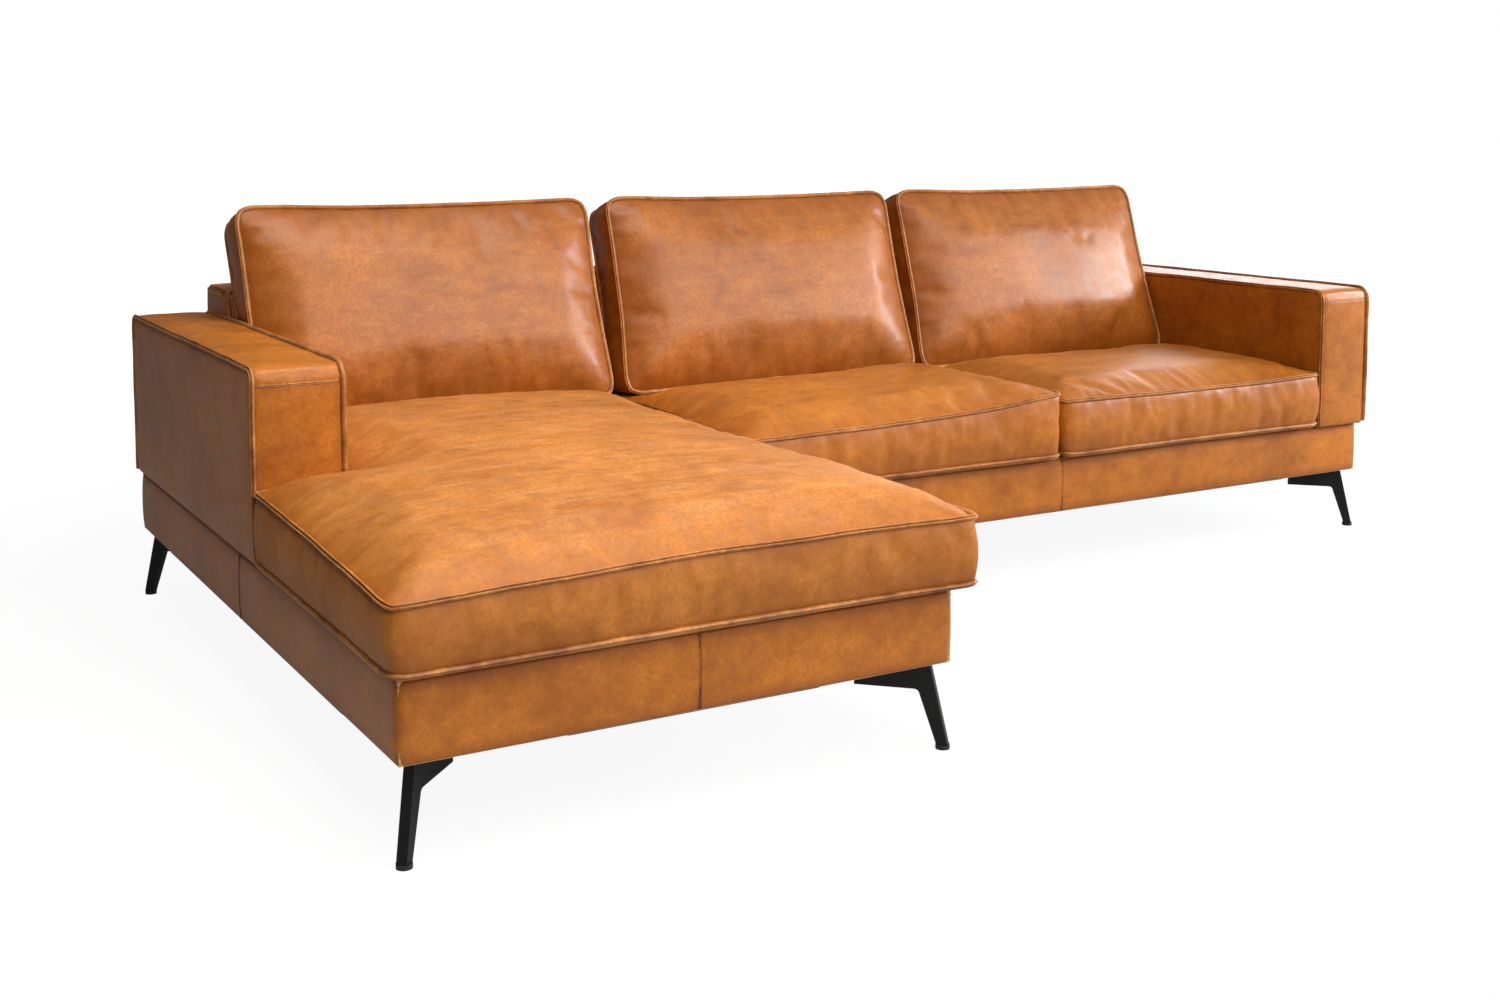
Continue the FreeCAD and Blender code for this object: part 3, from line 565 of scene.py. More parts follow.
def shape_cushion(cushion, bm):
    """Gives the block its drawn-in sides, bulging boxing and crown, and marks what each point is."""
    lay = bm.verts.layers.float_vector.new("lay")
    stretched = bm.verts.layers.float.new("stretched")
    by_seam = bm.verts.layers.float.new("by_seam")
    sewn = bm.verts.layers.float.get("sewn")
    for vert in bm.verts:
        x, y, share = vert.co
        gap = min(cushion.edge_gaps(x, y))
        full = cushion.fullness(x, y)
        seam = cushion.seam + cushion.seam_lift(x, y)
        on_side = 0 < share < 1
        if share == 1:
            z = seam + cushion.crown * full
            if cushion.rest:
                limit, depth = cushion.rest
                ramp = limit + max(cushion.depth - depth - y, 0) * REST_SLOPE
                z = soft_min(z, ramp, REST_BLEND)
        elif share == 0:
            z = cushion.base * (1 - rise(gap, cushion.base_run))
        else:
            z = cushion.base + (seam - cushion.base) * share
        vert[lay] = (x, y, z)
        # The top is paled by its crown's fullness, partly real pull-up and partly a painted highlight for
        # the light on it; the boxing is paled a little, the underside not at all, and the hide gets painted
        # shade near a seam
        vert[stretched] = full if share == 1 else BOXING_PULL_AND_LIGHT if on_side else 0
        seam_gap = gap if not on_side else min(share, 1 - share) * (seam - cushion.base)
        vert[by_seam] = math.exp(-seam_gap / SEAM_SHADE)
        square = Vector((x, y))
        x, y = rounded_plan(cushion, x, y)
        if vert[sewn] and (square - Vector((cushion.width, 0))).length < cushion.ear:
            x, y = Vector((x, y)).lerp(square, EAR_SHARE)
        across = x / cushion.width
        along = y / cushion.depth
        bulge = cushion.bulge * 4 * share * (1 - share) if on_side else 0
        x += (0.5 - across) * 2 * (cushion.draw * 4 * along * (1 - along) - bulge)
        y += (0.5 - along) * 2 * (cushion.draw * 4 * across * (1 - across) - bulge)
        x, y = cushion.grow(x, y)
        still = Vector((x, y, z))
        wave = Vector((ripple(still, 140, 1), ripple(still, 140, 2), ripple(still, 120, 3)))
        vert.co = still + wave * WAVE * (1 if share > 0 else UNDER_WAVE)
    bmesh.ops.transform(bm, matrix=cushion.place, verts=bm.verts)


CLOTH_FRAMES = 20
CLOTH_PRESSURE = 4
# The furthest that the filling moves any point of a cover
CLOTH_CAP = 0.014


def fill_covers(pinned_points):
    """Blows the covers up between their pinned seams, as the filling does, and keeps the result."""
    scene = bpy.context.scene
    starts = {}
    for piece, pinned in pinned_points.items():
        starts[piece] = [vert.co.copy() for vert in piece.data.vertices]
        group = piece.vertex_groups.new(name="pinned")
        group.add(pinned, 1, "REPLACE")
        cloth = piece.modifiers.new("filling", "CLOTH")
        settings = cloth.settings
        settings.quality = 6
        settings.mass = 0.5
        settings.tension_stiffness = 30
        settings.compression_stiffness = 30
        settings.shear_stiffness = 10
        settings.bending_stiffness = 1.5
        settings.shrink_min = -0.012
        settings.use_pressure = True
        settings.uniform_pressure_force = CLOTH_PRESSURE
        settings.vertex_group_mass = "pinned"
        settings.effector_weights.gravity = 0
        cloth.collision_settings.use_collision = False
        cloth.point_cache.frame_start = 1
        cloth.point_cache.frame_end = CLOTH_FRAMES
    for step in range(1, CLOTH_FRAMES + 1):
        scene.frame_set(step)
    graph = bpy.context.evaluated_depsgraph_get()
    for piece, places in starts.items():
        blown = [vert.co.copy() for vert in piece.evaluated_get(graph).data.vertices]
        for vert, start, end in zip(piece.data.vertices, places, blown):
            way = end - start
            if way.length > CLOTH_CAP:
                way *= CLOTH_CAP / way.length
            vert.co = start + way
        piece.modifiers.clear()
        piece.vertex_groups.clear()
    scene.frame_set(1)


def subdivide(piece):
    """Halves the cells once, smoothly, and keeps the result."""
    piece.modifiers.new("finer", "SUBSURF").levels = 1
    piece.modifiers["finer"].render_levels = 1
    keep_result(piece)


# Folds fade out from a seam over one run, and start a little inside it over the other
FOLD_RUN = 0.055
FOLD_START = 0.010
FOLD_DEPTH = 0.0034
# The broad unevenness of the filling, which fades out toward the seams
BROAD_DEPTH = 0.0016
BROAD_RUN = 0.05
# How little a fold changes along its length, against across it
FOLD_DRAWN = 0.25


def pucker(cushion, piece):
    """Adds the folds that run square to the seams, and the soft hollows that sitting leaves."""
    mesh = piece.data
    normals = [vert.normal.copy() for vert in mesh.vertices]
    lay = [Vector(item.vector) for item in mesh.attributes["lay"].data]
    for vert, normal, (x, y, z) in zip(mesh.vertices, normals, lay):
        left, right, front, back = cushion.edge_gaps(x, y)[:4]
        gap = min(left, right, front, back)
        seam = cushion.seam + cushion.seam_lift(x, y)
        on_top = z > seam + 1e-4
        if gap < 1e-4 and not on_top:
            gap = max(min(seam - z, z - cushion.base), 0)
        sideways = min(left, right) < min(front, back)
        along, across = (y, x) if sideways else (x, y)
        drawn = Vector((along, across * FOLD_DRAWN, z * FOLD_DRAWN))
        near = math.exp(-gap / FOLD_RUN) * (1 - math.exp(-gap / FOLD_START))
        fold = ripple(drawn, 26, 4) + 0.6 * ripple(drawn, 13, 5)
        broad = ripple(Vector((x, y, z)), 170, 6) * BROAD_DEPTH * (1 - math.exp(-gap / BROAD_RUN))
        amount = near * fold * FOLD_DEPTH + broad
        for dent_x, dent_y, reach, depth in cushion.dents:
            amount -= depth * math.exp(-((x - dent_x) ** 2 + (y - dent_y) ** 2) / reach ** 2)
        vert.co += normal * amount
    mesh.update()


def seam_loops(mesh):
    """The sewn lines of a cover, each a closed row of vertex numbers."""
    sewn = [item.value > 0.99 for item in mesh.attributes["sewn"].data]
    links = {}
    for edge in mesh.edges:
        a, b = edge.vertices
        if sewn[a] and sewn[b]:
            links.setdefault(a, []).append(b)
            links.setdefault(b, []).append(a)
    loops = []
    left = set(links)
    while left:
        here = min(left)
        loop = []
        while here is not None:
            loop.append(here)
            left.discard(here)
            here = next((other for other in links[here] if other in left), None)
        loops.append(loop)
    return loops


# Half the size of a stitch, its step along the row, its distance from the seam and its lift
STITCH = Vector((0.5, 0.42, 1.9)) * MM
STITCH_STEP = 0.0072
STITCH_SET = 0.0085
STITCH_LIFT = 0.0002


def stitch_row(bm, surface, points, way):
    """A row of stitches beside a seam, laid on the surface."""
    line = spaced(points, STITCH_STEP, closed=True)
    for here, after in zip(line, line[1:] + line[:1]):
        spot, normal, _, _ = surface.find_nearest(here + way * STITCH_SET)
        along = (after - here).normalized()
        across = normal.cross(along).normalized()
        turn = Matrix((across, along.cross(across), along)).transposed().to_4x4()
        size = Matrix.Diagonal((*STITCH, 1))
        bmesh.ops.create_icosphere(bm, subdivisions=1, radius=1,
                                   matrix=Matrix.Translation(spot + normal * STITCH_LIFT) @ turn @ size)


def trim_cushion(cushion, piece, body):
    """Sews welts round the seams of a cushion, and a row of stitches above the lower one."""
    mesh = piece.data
    runs = []
    stitches = bmesh.new()
    surface = BVHTree.FromPolygons([vert.co for vert in mesh.vertices],
                                   [polygon.vertices for polygon in mesh.polygons])
    top_way = (cushion.place.to_3x3() @ UP).normalized()
    loops = seam_loops(mesh)
    heights = [sum(mesh.vertices[index].co.dot(top_way) for index in loop) / len(loop) for loop in loops]
    for loop, height in zip(loops, heights):
        points = tidy_line([mesh.vertices[index].co.copy() for index in loop], True)
        outs = tidy_line([mesh.vertices[index].normal.copy() for index in loop], True, 4)
        runs.append((points, outs))
        if height < max(heights):
            stitch_row(stitches, surface, points, top_way)
    sew(f"{cushion.name}_welts", runs, scaled(WELT), HIDE_LIPS_LIT_AND_SHADED, body, closed=True)
    new_piece(f"{cushion.name}_stitches", stitches, THREAD, body)


SEAT_BASE = 0.012
SEAT_SEAM = 0.130
SEAT_CROWN = 0.034
SEAT_RADIUS = 0.026
SEAT_EAR = 0.03
# The back cushions press the seats flat at this height, this far forward of the rear edge
SEAT_REST = (0.1300, 0.098)
# The chaise seat is lower at its seam and fuller, and keeps clear of the arm's side and front
CHAISE_SEAM = 0.116
CHAISE_CROWN = 0.052
CHAISE_DRAW = 0.007
ARM_SIDE_GAP = 0.0068
ARM_FRONT_GAP = 0.0080


def seat_cushions():
    """The three seat cushions, set out from their CAD covers."""
    arm_low, arm_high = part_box("left_arm_cover")
    made = []
    for name in ("chaise_seat", "middle_seat", "right_seat"):
        low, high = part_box(f"{name}_cover")
        place = Matrix.Translation((low.x + SEAT_BULGE, low.y + SEAT_BULGE, low.z))
        width = high.x - low.x - 2 * SEAT_BULGE
        depth = high.y - low.y - 2 * SEAT_BULGE
        seam, crown = SEAT_SEAM, SEAT_CROWN
        more = {"rest": SEAT_REST}
        if name == "chaise_seat":
            seam, crown = CHAISE_SEAM, CHAISE_CROWN
            front = arm_low.y - ARM_FRONT_GAP - (low.y + SEAT_BULGE)
            more["notch"] = (arm_high.x + ARM_SIDE_GAP - (low.x + SEAT_BULGE), front)
            more["draw"] = CHAISE_DRAW
            more["ear"] = SEAT_EAR
            # The front seam dips to the left, and the left one climbs to the arm
            more["seam_lift"] = lambda x, y, w=width, f=front: (
                -0.013 + 0.014 * min(1, x / (0.5 * w)) * (1 - min(1, y / f)) + 0.026 * min(1, y / f)
                * (1 - 0.55 * x / w))
        elif name == "middle_seat":
            more["ear"] = SEAT_EAR
            # The front seam climbs to its right corner
            more["seam_lift"] = lambda x, y, w=width, d=depth: (
                (-0.016 + 0.034 * (x / w) ** 3) * (1 - 0.6 * y / d))
        else:
            more["seam_lift"] = lambda x, y, w=width: -0.006 * math.sin(math.pi * x / w)
        made.append(Cushion(name, place, width, depth, SEAT_BASE, seam, crown, SEAT_RADIUS, **more))
    return made


BACK_LEAN = math.radians(18.4)
BACK_HEIGHT = 0.452
BACK_BASE = 0.020
BACK_BASE_RUN = 0.055
BACK_SEAM = 0.112
BACK_CROWN = 0.050
BACK_RADIUS = 0.038
# What is left between a back cushion and the back it leans on
LEAN_GAP = 0.0004
# Insets of the left and right edges at the top of each cushion, read from the photograph
BACK_TRIMS = {"left_back": (0.000, 0.004), "middle_back": (0.017, 0.003), "right_back": (0.012, 0.012)}
# Two hollows in the right back cushion, where its filling has settled
BACK_DENTS = {"right_back": ((0.52, 0.31, 0.022, 0.004), (0.56, 0.30, 0.016, 0.003))}


def back_cushions():
    """The three back cushions, leaning on the backs and pressed flat where they stand."""
    made = []
    for name, (left_trim, right_trim) in BACK_TRIMS.items():
        low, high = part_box(f"{name}_cover")
        width = high.x - low.x - 2 * BACK_BULGE
        slope = Matrix.Rotation(math.pi / 2 - BACK_LEAN, 4, "X")
        # The lowest corner is at the rear face, a thickness's rise below the plane it stands on
        foot = low.z - BACK_SEAM * math.sin(BACK_LEAN)
        rear = back_line(foot) - LEAN_GAP / math.cos(BACK_LEAN)

        def grow(x, y, w=width, a=left_trim, b=right_trim):
            up = min(max(y / BACK_HEIGHT, 0), 1)
            return x + a * (1 - x / w) * up - b * (x / w) * up, y

        made.append(Cushion(
            name, Matrix.Translation((low.x + BACK_BULGE, rear, foot)) @ slope, width, BACK_HEIGHT,
            BACK_BASE, BACK_SEAM, BACK_CROWN, BACK_RADIUS, base_run=BACK_BASE_RUN, bulge=BACK_BULGE,
            grow=grow, dents=BACK_DENTS.get(name, ()),
            full=lambda x, y: 1.06 - 0.16 * (y / BACK_HEIGHT)))
    return made


def back_line(height):
    """How far back the leaning face of the backs is at a height."""
    low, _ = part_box("sofa_back_cover")
    return low.y + (height - low.z) * math.tan(BACK_LEAN)


# The cushions keep this far above what carries them, the leaning ones before their filling
STANDING_GAP = 0.0003
LEANING_GAP = 0.0006
# A cover is held where the cushion stands or is rested on, and this little beyond
HELD_HEIGHT = 0.004
HELD_REACH = 0.01


def held_points(cushion, piece, leaning, floor):
    """The points of a cover that its filling can't move."""
    lay = piece.data.attributes["lay"].data
    sewn = piece.data.attributes["sewn"].data
    held = []
    for vert in piece.data.vertices:
        _, y, z = lay[vert.index].vector
        base = z <= cushion.base + 1e-5
        resting = cushion.rest and y > cushion.depth - cushion.rest[1] - HELD_REACH
        standing = leaning and vert.co.z < floor + HELD_HEIGHT
        if sewn[vert.index].value > 0.5 or base or resting or standing:
            held.append(vert.index)
    return held


def make_cushions():
    """Cuts, fills and sews all six cushions, each on the body that carries its cover."""
    owners = frame["record"]["behaviour"]["bodies"]
    work = []
    for cushion in seat_cushions() + back_cushions():
        bm = blank(cushion)
        shape_cushion(cushion, bm)
        cover = f"{cushion.name}_cover"
        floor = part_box(cover)[0].z
        leaning = cushion.name.endswith("back")
        if leaning:
            for vert in bm.verts:
                vert.co.z = max(vert.co.z, floor + LEANING_GAP)
        body = next(name for name, nodes in owners.items() if cover in nodes)
        hide = HIDE_WORN if cushion.name == "chaise_seat" else HIDE_WAXED if leaning else HIDE
        piece = new_piece(f"{cushion.name}_cushion", bm, hide, body,
                          (cover, f"{cushion.name}_core"))
        work.append((cushion, piece, body, leaning, floor))
    fill_covers({piece: held_points(cushion, piece, leaning, floor)
                 for cushion, piece, _, leaning, floor in work})
    for cushion, piece, body, leaning, floor in work:
        subdivide(piece)
        pucker(cushion, piece)
        for vert in piece.data.vertices:
            vert.co.z = max(vert.co.z, floor + STANDING_GAP)
        trim_cushion(cushion, piece, body)


make_cushions()


# Bases: leather wrapped round the rails and turned under at the top and the bottom

BASE_CORNER = 0.014
CORNER_STEPS = 4
# How far the leather turns in over the rails, the rounding of its edges and its bow between them
TURN_IN = 0.022
BASE_EDGE = 0.007
BASE_BOW = 0.0022
BASE_ROWS = 7
HIDE_THICKNESS = 0.0030
# How far the seams of a base are sunk into it, and how uneven its leather is
SEAM_SINK = 0.0004
BASE_WAVE = 0.0009
# The facing sides of the two modules stay flat, this far inside their boxes
FACING_GAP = 0.0002


def bow(share):
    """How far the leather of a base stands out at a share of its height."""
    return BASE_BOW * 4 * share * (1 - share)


def flatten_facing(module, verts, low, high):
    """Flattens the side of a module that stands close to the other module."""
    for vert in verts:
        if module == "chaise":
            vert.co.x = min(vert.co.x, high.x - FACING_GAP)
        else:
            vert.co.x = max(vert.co.x, low.x + FACING_GAP)


def wrapped_base(module, seams):
    """The leather round one base, with a seam at each place and way out given."""
    low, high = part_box(f"{module}_base_cover")
    centre = (low + high) / 2
    corners = ((high.x, low.y, -90), (high.x, high.y, 0), (low.x, high.y, 90), (low.x, low.y, 180))
    outline = []
    for x, y, start in corners:
        pivot = Vector((x - math.copysign(BASE_CORNER, x - (low.x + high.x) / 2),
                        y - math.copysign(BASE_CORNER, y - (low.y + high.y) / 2), low.z))
        for step in range(CORNER_STEPS + 1):
            angle = math.radians(start + 90 * step / CORNER_STEPS)
            outline.append(pivot + Vector((math.cos(angle), math.sin(angle), 0)) * BASE_CORNER)
    path = spaced(outline, 0.020, closed=True)
    # Across is up here, so the section runs from the turned-in top to the turned-under bottom, a
    # fraction of a millimetre inside the CAD cover at both
    tall = (high - low).z
    edge = BASE_EDGE
    section = [(tall - 0.0004, -TURN_IN), (tall - 0.0002, -edge), (tall - edge * 0.3, -edge * 0.3),
               (tall - edge, -0.0005)]
    for step in range(1, BASE_ROWS):
        share = step / BASE_ROWS
        section.append((tall - edge - (tall - 2 * edge) * share, bow(share)))
    section += [(edge, -0.0005), (edge * 0.3, -edge * 0.3), (0.0002, -edge), (0.0004, -TURN_IN)]
    # Back along the inner face of the hide
    inside = HIDE_THICKNESS + 0.0004
    section += [(HIDE_THICKNESS, -TURN_IN), (inside, -edge), (tall - inside, -edge),
                (tall - HIDE_THICKNESS, -TURN_IN)]
    places = []
    for index, here in enumerate(path):
        out = (path[(index + 1) % len(path)] - path[index - 1]).cross(UP).normalized()
        turn = Matrix((UP, out, -UP.cross(out))).transposed().to_4x4()
        places.append(Matrix.Translation(here) @ turn)
    bm = bmesh.new()
    sweep(bm, section, places, True)
    bmesh.ops.recalc_face_normals(bm, faces=bm.faces)
    for vert in bm.verts:
        outward = Vector((vert.co.x - centre.x, vert.co.y - centre.y, 0))
        vert.co += outward.normalized() * ripple(vert.co, 110, 8) * BASE_WAVE
    flatten_facing(module, bm.verts, low, high)
    new_piece(f"{module}_base", bm, HIDE, f"{module}_module", (f"{module}_base_cover",))
    runs = []
    for x, y, out in seams:
        ends = [Vector((x, y, low.z + edge * 0.6)), Vector((x, y, high.z - edge * 0.6))]
        bowed = [point + out * (bow((point.z - low.z) / tall) - SEAM_SINK)
                 for point in spaced(ends, 0.012)]
        runs.append((bowed, [out] * len(bowed)))
    sew(f"{module}_base_seams", runs, scaled(SEAM), HIDE_SHADED_SEAM, f"{module}_module")


FRONT = Vector((0, -1, 0))
BACK = Vector((0, 1, 0))
LEFT = Vector((-1, 0, 0))
RIGHT = Vector((1, 0, 0))


# Where the front and rear of the sofa's base are seamed, as a share of its width
SOFA_SEAM_SHARE = 0.479


def make_bases():
    """Both bases, seamed halfway along their front and rear and on the outer side of the chaise."""
    low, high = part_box("chaise_base_cover")
    halfway = (low.x + high.x) / 2
    wrapped_base("chaise", [(halfway, low.y, FRONT), (halfway, high.y, BACK),
                            (low.x, (low.y + high.y) / 2, LEFT)])
    low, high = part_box("sofa_base_cover")
    joined = low.x + SOFA_SEAM_SHARE * (high.x - low.x)
    wrapped_base("sofa", [(joined, low.y, FRONT), (joined, high.y, BACK)])


make_bases()


# Arms and backs: leather drawn over padded boards, with welts along their edges

# How far the leather of the arms and backs is paled in the middle of each face, partly real pull-up and
# partly painted light that fades toward the edges, and the share of its folds that an edge keeps
PADDED_PULL_AND_LIGHT = 0.25
EDGE_FOLDS = 0.3


def drawn_over(name, bm, body, stands_for, voxel, puff):
    """Rounds and fills out a closed block as leather over padding."""
    bmesh.ops.recalc_face_normals(bm, faces=bm.faces)
    piece = new_piece(name, bm, HIDE, body, stands_for)
    remesh = piece.modifiers.new("cells", "REMESH")
    remesh.mode = "VOXEL"
    remesh.voxel_size = voxel
    remesh.use_smooth_shade = True
    smooth = piece.modifiers.new("soften", "SMOOTH")
    smooth.factor = 0.5
    smooth.iterations = 3
    keep_result(piece)
    made = piece.data
    low, high = (Vector([pick(vert.co[axis] for vert in made.vertices) for axis in range(3)])
                 for pick in (min, max))
    size = high - low
    stretched = made.attributes.new("stretched", "FLOAT", "POINT")
    normals = [vert.normal.copy() for vert in made.vertices]
    for vert, normal in zip(made.vertices, normals):
        share = 1
        for axis in range(3):
            place = (vert.co[axis] - low[axis]) / size[axis]
            gap = min(place, 1 - place) * size[axis]
            if abs(normal[axis]) < 0.6:
                share *= rise(gap, 0.06)
        # Painted light: each face is drawn paler in its middle than within 60 mm of its edges
        stretched.data[vert.index].value = PADDED_PULL_AND_LIGHT * share
        fold = ripple(vert.co, 90, 9) * 0.0010 + ripple(vert.co, 34, 10) * 0.0005
        vert.co += normal * (puff * share + fold * (EDGE_FOLDS + (1 - EDGE_FOLDS) * share))
    made.update()
    return piece


def laid_on(piece, points):
    """Moves a path onto the surface of a piece."""
    surface = BVHTree.FromPolygons([vert.co for vert in piece.data.vertices],
                                   [polygon.vertices for polygon in piece.data.polygons])
    return [surface.find_nearest(point)[0] for point in points]


# The rounding of the arm's top front corner and of its edges, and how far below the top its seam is
ARM_CORNER = 0.021
ARM_EDGE = 0.006
ARM_SEAM_DROP = 0.029
CORNER_PARTS = 6
# How far the welts and rear seams stop above the foot of a cover
FOOT_GAP = 0.004


def make_arm(side, body):
    """An arm with a welt along each side of its outline and a seam across its front."""
    low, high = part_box(f"{side}_arm_cover")
    bm = bmesh.new()
    bmesh.ops.create_cube(bm, size=1)
    bmesh.ops.scale(bm, vec=high - low, verts=bm.verts)
    bmesh.ops.translate(bm, vec=(low + high) / 2, verts=bm.verts)
    top_front = [edge for edge in bm.edges
                 if all(vert.co.z > high.z - 1e-4 and vert.co.y < low.y + 1e-4 for vert in edge.verts)]
    bmesh.ops.bevel(bm, geom=top_front, offset=ARM_CORNER, segments=CORNER_PARTS, profile=0.5,
                    affect="EDGES", material=-1)
    outline = [edge for edge in bm.edges
               if abs(edge.verts[0].co.x - edge.verts[1].co.x) < 1e-5
               and max(vert.co.z for vert in edge.verts) > low.z + 1e-4]
    bmesh.ops.bevel(bm, geom=outline, offset=ARM_EDGE, segments=3, profile=0.5, affect="EDGES",
                    material=-1)
    piece = drawn_over(f"{side}_arm", bm, body, (f"{side}_arm_cover", f"{side}_arm_padding"), 0.0065,
                       0.0035)
    runs = []
    for x, way in ((low.x, LEFT), (high.x, RIGHT)):
        edge = [Vector((x, low.y, low.z + FOOT_GAP)), Vector((x, low.y, high.z - ARM_CORNER))]
        for step in range(1, CORNER_PARTS):
            angle = math.pi / 2 * step / CORNER_PARTS
            edge.append(Vector((x, low.y + ARM_CORNER * (1 - math.cos(angle)),
                                high.z - ARM_CORNER * (1 - math.sin(angle)))))
        edge += [Vector((x, low.y + ARM_CORNER, high.z)), Vector((x, high.y, high.z)),
                 Vector((x, high.y, low.z + FOOT_GAP))]
        path = spaced(edge, 0.010)
        outs = []
        for point in path:
            if point.y > high.y - 1e-4:
                face = BACK
            elif point.z > high.z - 1e-4:
                face = UP
            elif point.y < low.y + 1e-4:
                face = FRONT
            else:
                face = (FRONT * (low.y + ARM_CORNER - point.y) + UP
                        * (point.z - high.z + ARM_CORNER)).normalized()
            outs.append((way + face).normalized())
        points = [point + Vector([ripple(point, 70, seed) for seed in (11, 12, 13)]) * 0.0012
                  for point in laid_on(piece, path)]
        runs.append((tidy_line(points, False), tidy_line(outs, False, 3)))
    sew(f"{side}_arm_welts", runs, scaled(WELT), HIDE_LIPS_LIT_AND_SHADED, body)
    across = [Vector((x, low.y, high.z - ARM_SEAM_DROP)) for x in (low.x + ARM_EDGE, high.x - ARM_EDGE)]
    points = laid_on(piece, spaced(across, 0.008))
    sew(f"{side}_arm_seam", [(points, [FRONT] * len(points))], scaled(SEAM), HIDE_LIPS_LIT_AND_SHADED, body)


# The rounding of the backs' edges, and how far in from the ends of a back its welts run
BACK_EDGE = 0.007
WELT_INSET = 0.005
SIDE_WELT_INSET = 0.003
# The welts of the backs are thinner than those of the cushions and arms
BACK_WELT = 0.8
WELT_STEP = 0.012


def make_back(module, seam_shares):
    """A leaning back with welts along its top and its free side, and seams down its rear."""
    body = f"{module}_module"
    low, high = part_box(f"{module}_back_cover")
    mesh = frame["nodes"][f"{module}_back_cover"].data
    top_front = min(vert.co.y for vert in mesh.vertices if vert.co.z > high.z - 0.001)
    profile = [(low.y, low.z), (high.y, low.z), (high.y, high.z), (top_front, high.z)]
    bm = bmesh.new()
    end = bm.faces.new([bm.verts.new((low.x, y, z)) for y, z in profile])
    made = bmesh.ops.extrude_face_region(bm, geom=[end], use_keep_orig=True)["geom"]
    bmesh.ops.translate(bm, vec=(high.x - low.x, 0, 0),
                        verts=[item for item in made if isinstance(item, bmesh.types.BMVert)])
    edges = [edge for edge in bm.edges if max(vert.co.z for vert in edge.verts) > low.z + 1e-4]
    bmesh.ops.bevel(bm, geom=edges, offset=BACK_EDGE, segments=3, profile=0.5, affect="EDGES",
                    material=-1)
    piece = drawn_over(f"{module}_back", bm, body,
                       (f"{module}_back_cover", f"{module}_back_padding"), 0.008, 0.0025)
    flatten_facing(module, piece.data.vertices, low, high)
    runs = []
    for y, way in ((top_front, FRONT), (high.y, BACK)):
        path = spaced([Vector((low.x + WELT_INSET, y, high.z)), Vector((high.x - WELT_INSET, y, high.z))],
                      WELT_STEP)
        points = [point + Vector((0, ripple(point, 80, 14), ripple(point, 80, 15))) * 0.0010
                  for point in laid_on(piece, path)]
        runs.append((tidy_line(points, False), [(way + UP).normalized()] * len(path)))
    # The free side, up its rear edge, over the top and a little way down the front
    if module == "chaise":
        x, way = low.x + SIDE_WELT_INSET, LEFT
    else:
        x, way = high.x - SIDE_WELT_INSET, RIGHT
    corners = [Vector((x, high.y, low.z + FOOT_GAP)), Vector((x, high.y, high.z)),
               Vector((x, top_front, high.z)), Vector((x, low.y + 0.05, low.z + 0.15))]
    path = []
    outs = []
    for start, end, face in zip(corners, corners[1:], (BACK, UP, FRONT)):
        run = spaced([start, end], WELT_STEP)[:-1]
        path += run
        outs += [(way + face).normalized()] * len(run)
    runs.append((tidy_line(laid_on(piece, path), False), tidy_line(outs, False, 3)))
    sew(f"{module}_back_welts", runs, scaled(WELT, BACK_WELT), HIDE_LIPS_LIT_AND_SHADED, body)
    runs = []
    for share in seam_shares:
        x = low.x + share * (high.x - low.x)
        down = [Vector((x, high.y, high.z - 0.010)), Vector((x, high.y, low.z + FOOT_GAP))]
        points = laid_on(piece, spaced(down, 0.015))
        runs.append((points, [BACK] * len(points)))
    sew(f"{module}_back_seams", runs, scaled(SEAM), HIDE_SHADED_SEAM, body)


make_arm("left", "chaise_module")
make_arm("right", "sofa_module")
make_back("chaise", (0.5,))
make_back("sofa", (0.25, 0.5, 0.75))


# Decks under the loose seat cushions

# How far a deck drops at its edges, over what run, and how uneven it is
DECK_DROP = 0.004
DECK_RUN = 0.03
DECK_SAG = 0.0012


def make_deck(module):
    """The padded deck of a module, dropping softly to its edges."""
    low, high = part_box(f"{module}_deck_pad")
    bm = bmesh.new()
    bmesh.ops.create_grid(bm, x_segments=40, y_segments=30, size=0.5)
    bmesh.ops.scale(bm, vec=(high.x - low.x, high.y - low.y, 1), verts=bm.verts)
    made = bmesh.ops.extrude_face_region(bm, geom=bm.faces[:], use_keep_orig=True)["geom"]
    top = {item for item in made if isinstance(item, bmesh.types.BMVert)}
    bmesh.ops.translate(bm, vec=(0, 0, high.z - low.z), verts=list(top))
    bmesh.ops.recalc_face_normals(bm, faces=bm.faces)
    bmesh.ops.translate(bm, vec=((low.x + high.x) / 2, (low.y + high.y) / 2, low.z), verts=bm.verts)
    for vert in top:
        gap = min(vert.co.x - low.x, high.x - vert.co.x, vert.co.y - low.y, high.y - vert.co.y)
        sag = DECK_SAG * (1 + ripple(vert.co, 160, 16))
        vert.co.z -= DECK_DROP * (1 - rise(gap, DECK_RUN)) + sag
    piece = new_piece(f"{module}_deck", bm, DECK_CLOTH, f"{module}_module",
                      (f"{module}_deck_pad",))


make_deck("chaise")
make_deck("sofa")


# Floor, light and background

FLOOR_SIZE = 60
# The share of white in what the camera sees of the floor, near and far, and those distances
FLOOR_WHITE = (0.80, 1)
FLOOR_FADE = (1.9, 4.5)
# A little over white, which makes up for what the share leaves out
FLOOR_GLOW = 1.15
# What gloss shows of the white, so that the shaded sides keep the depth of their colour
GLOSS_SHARE = 0.10


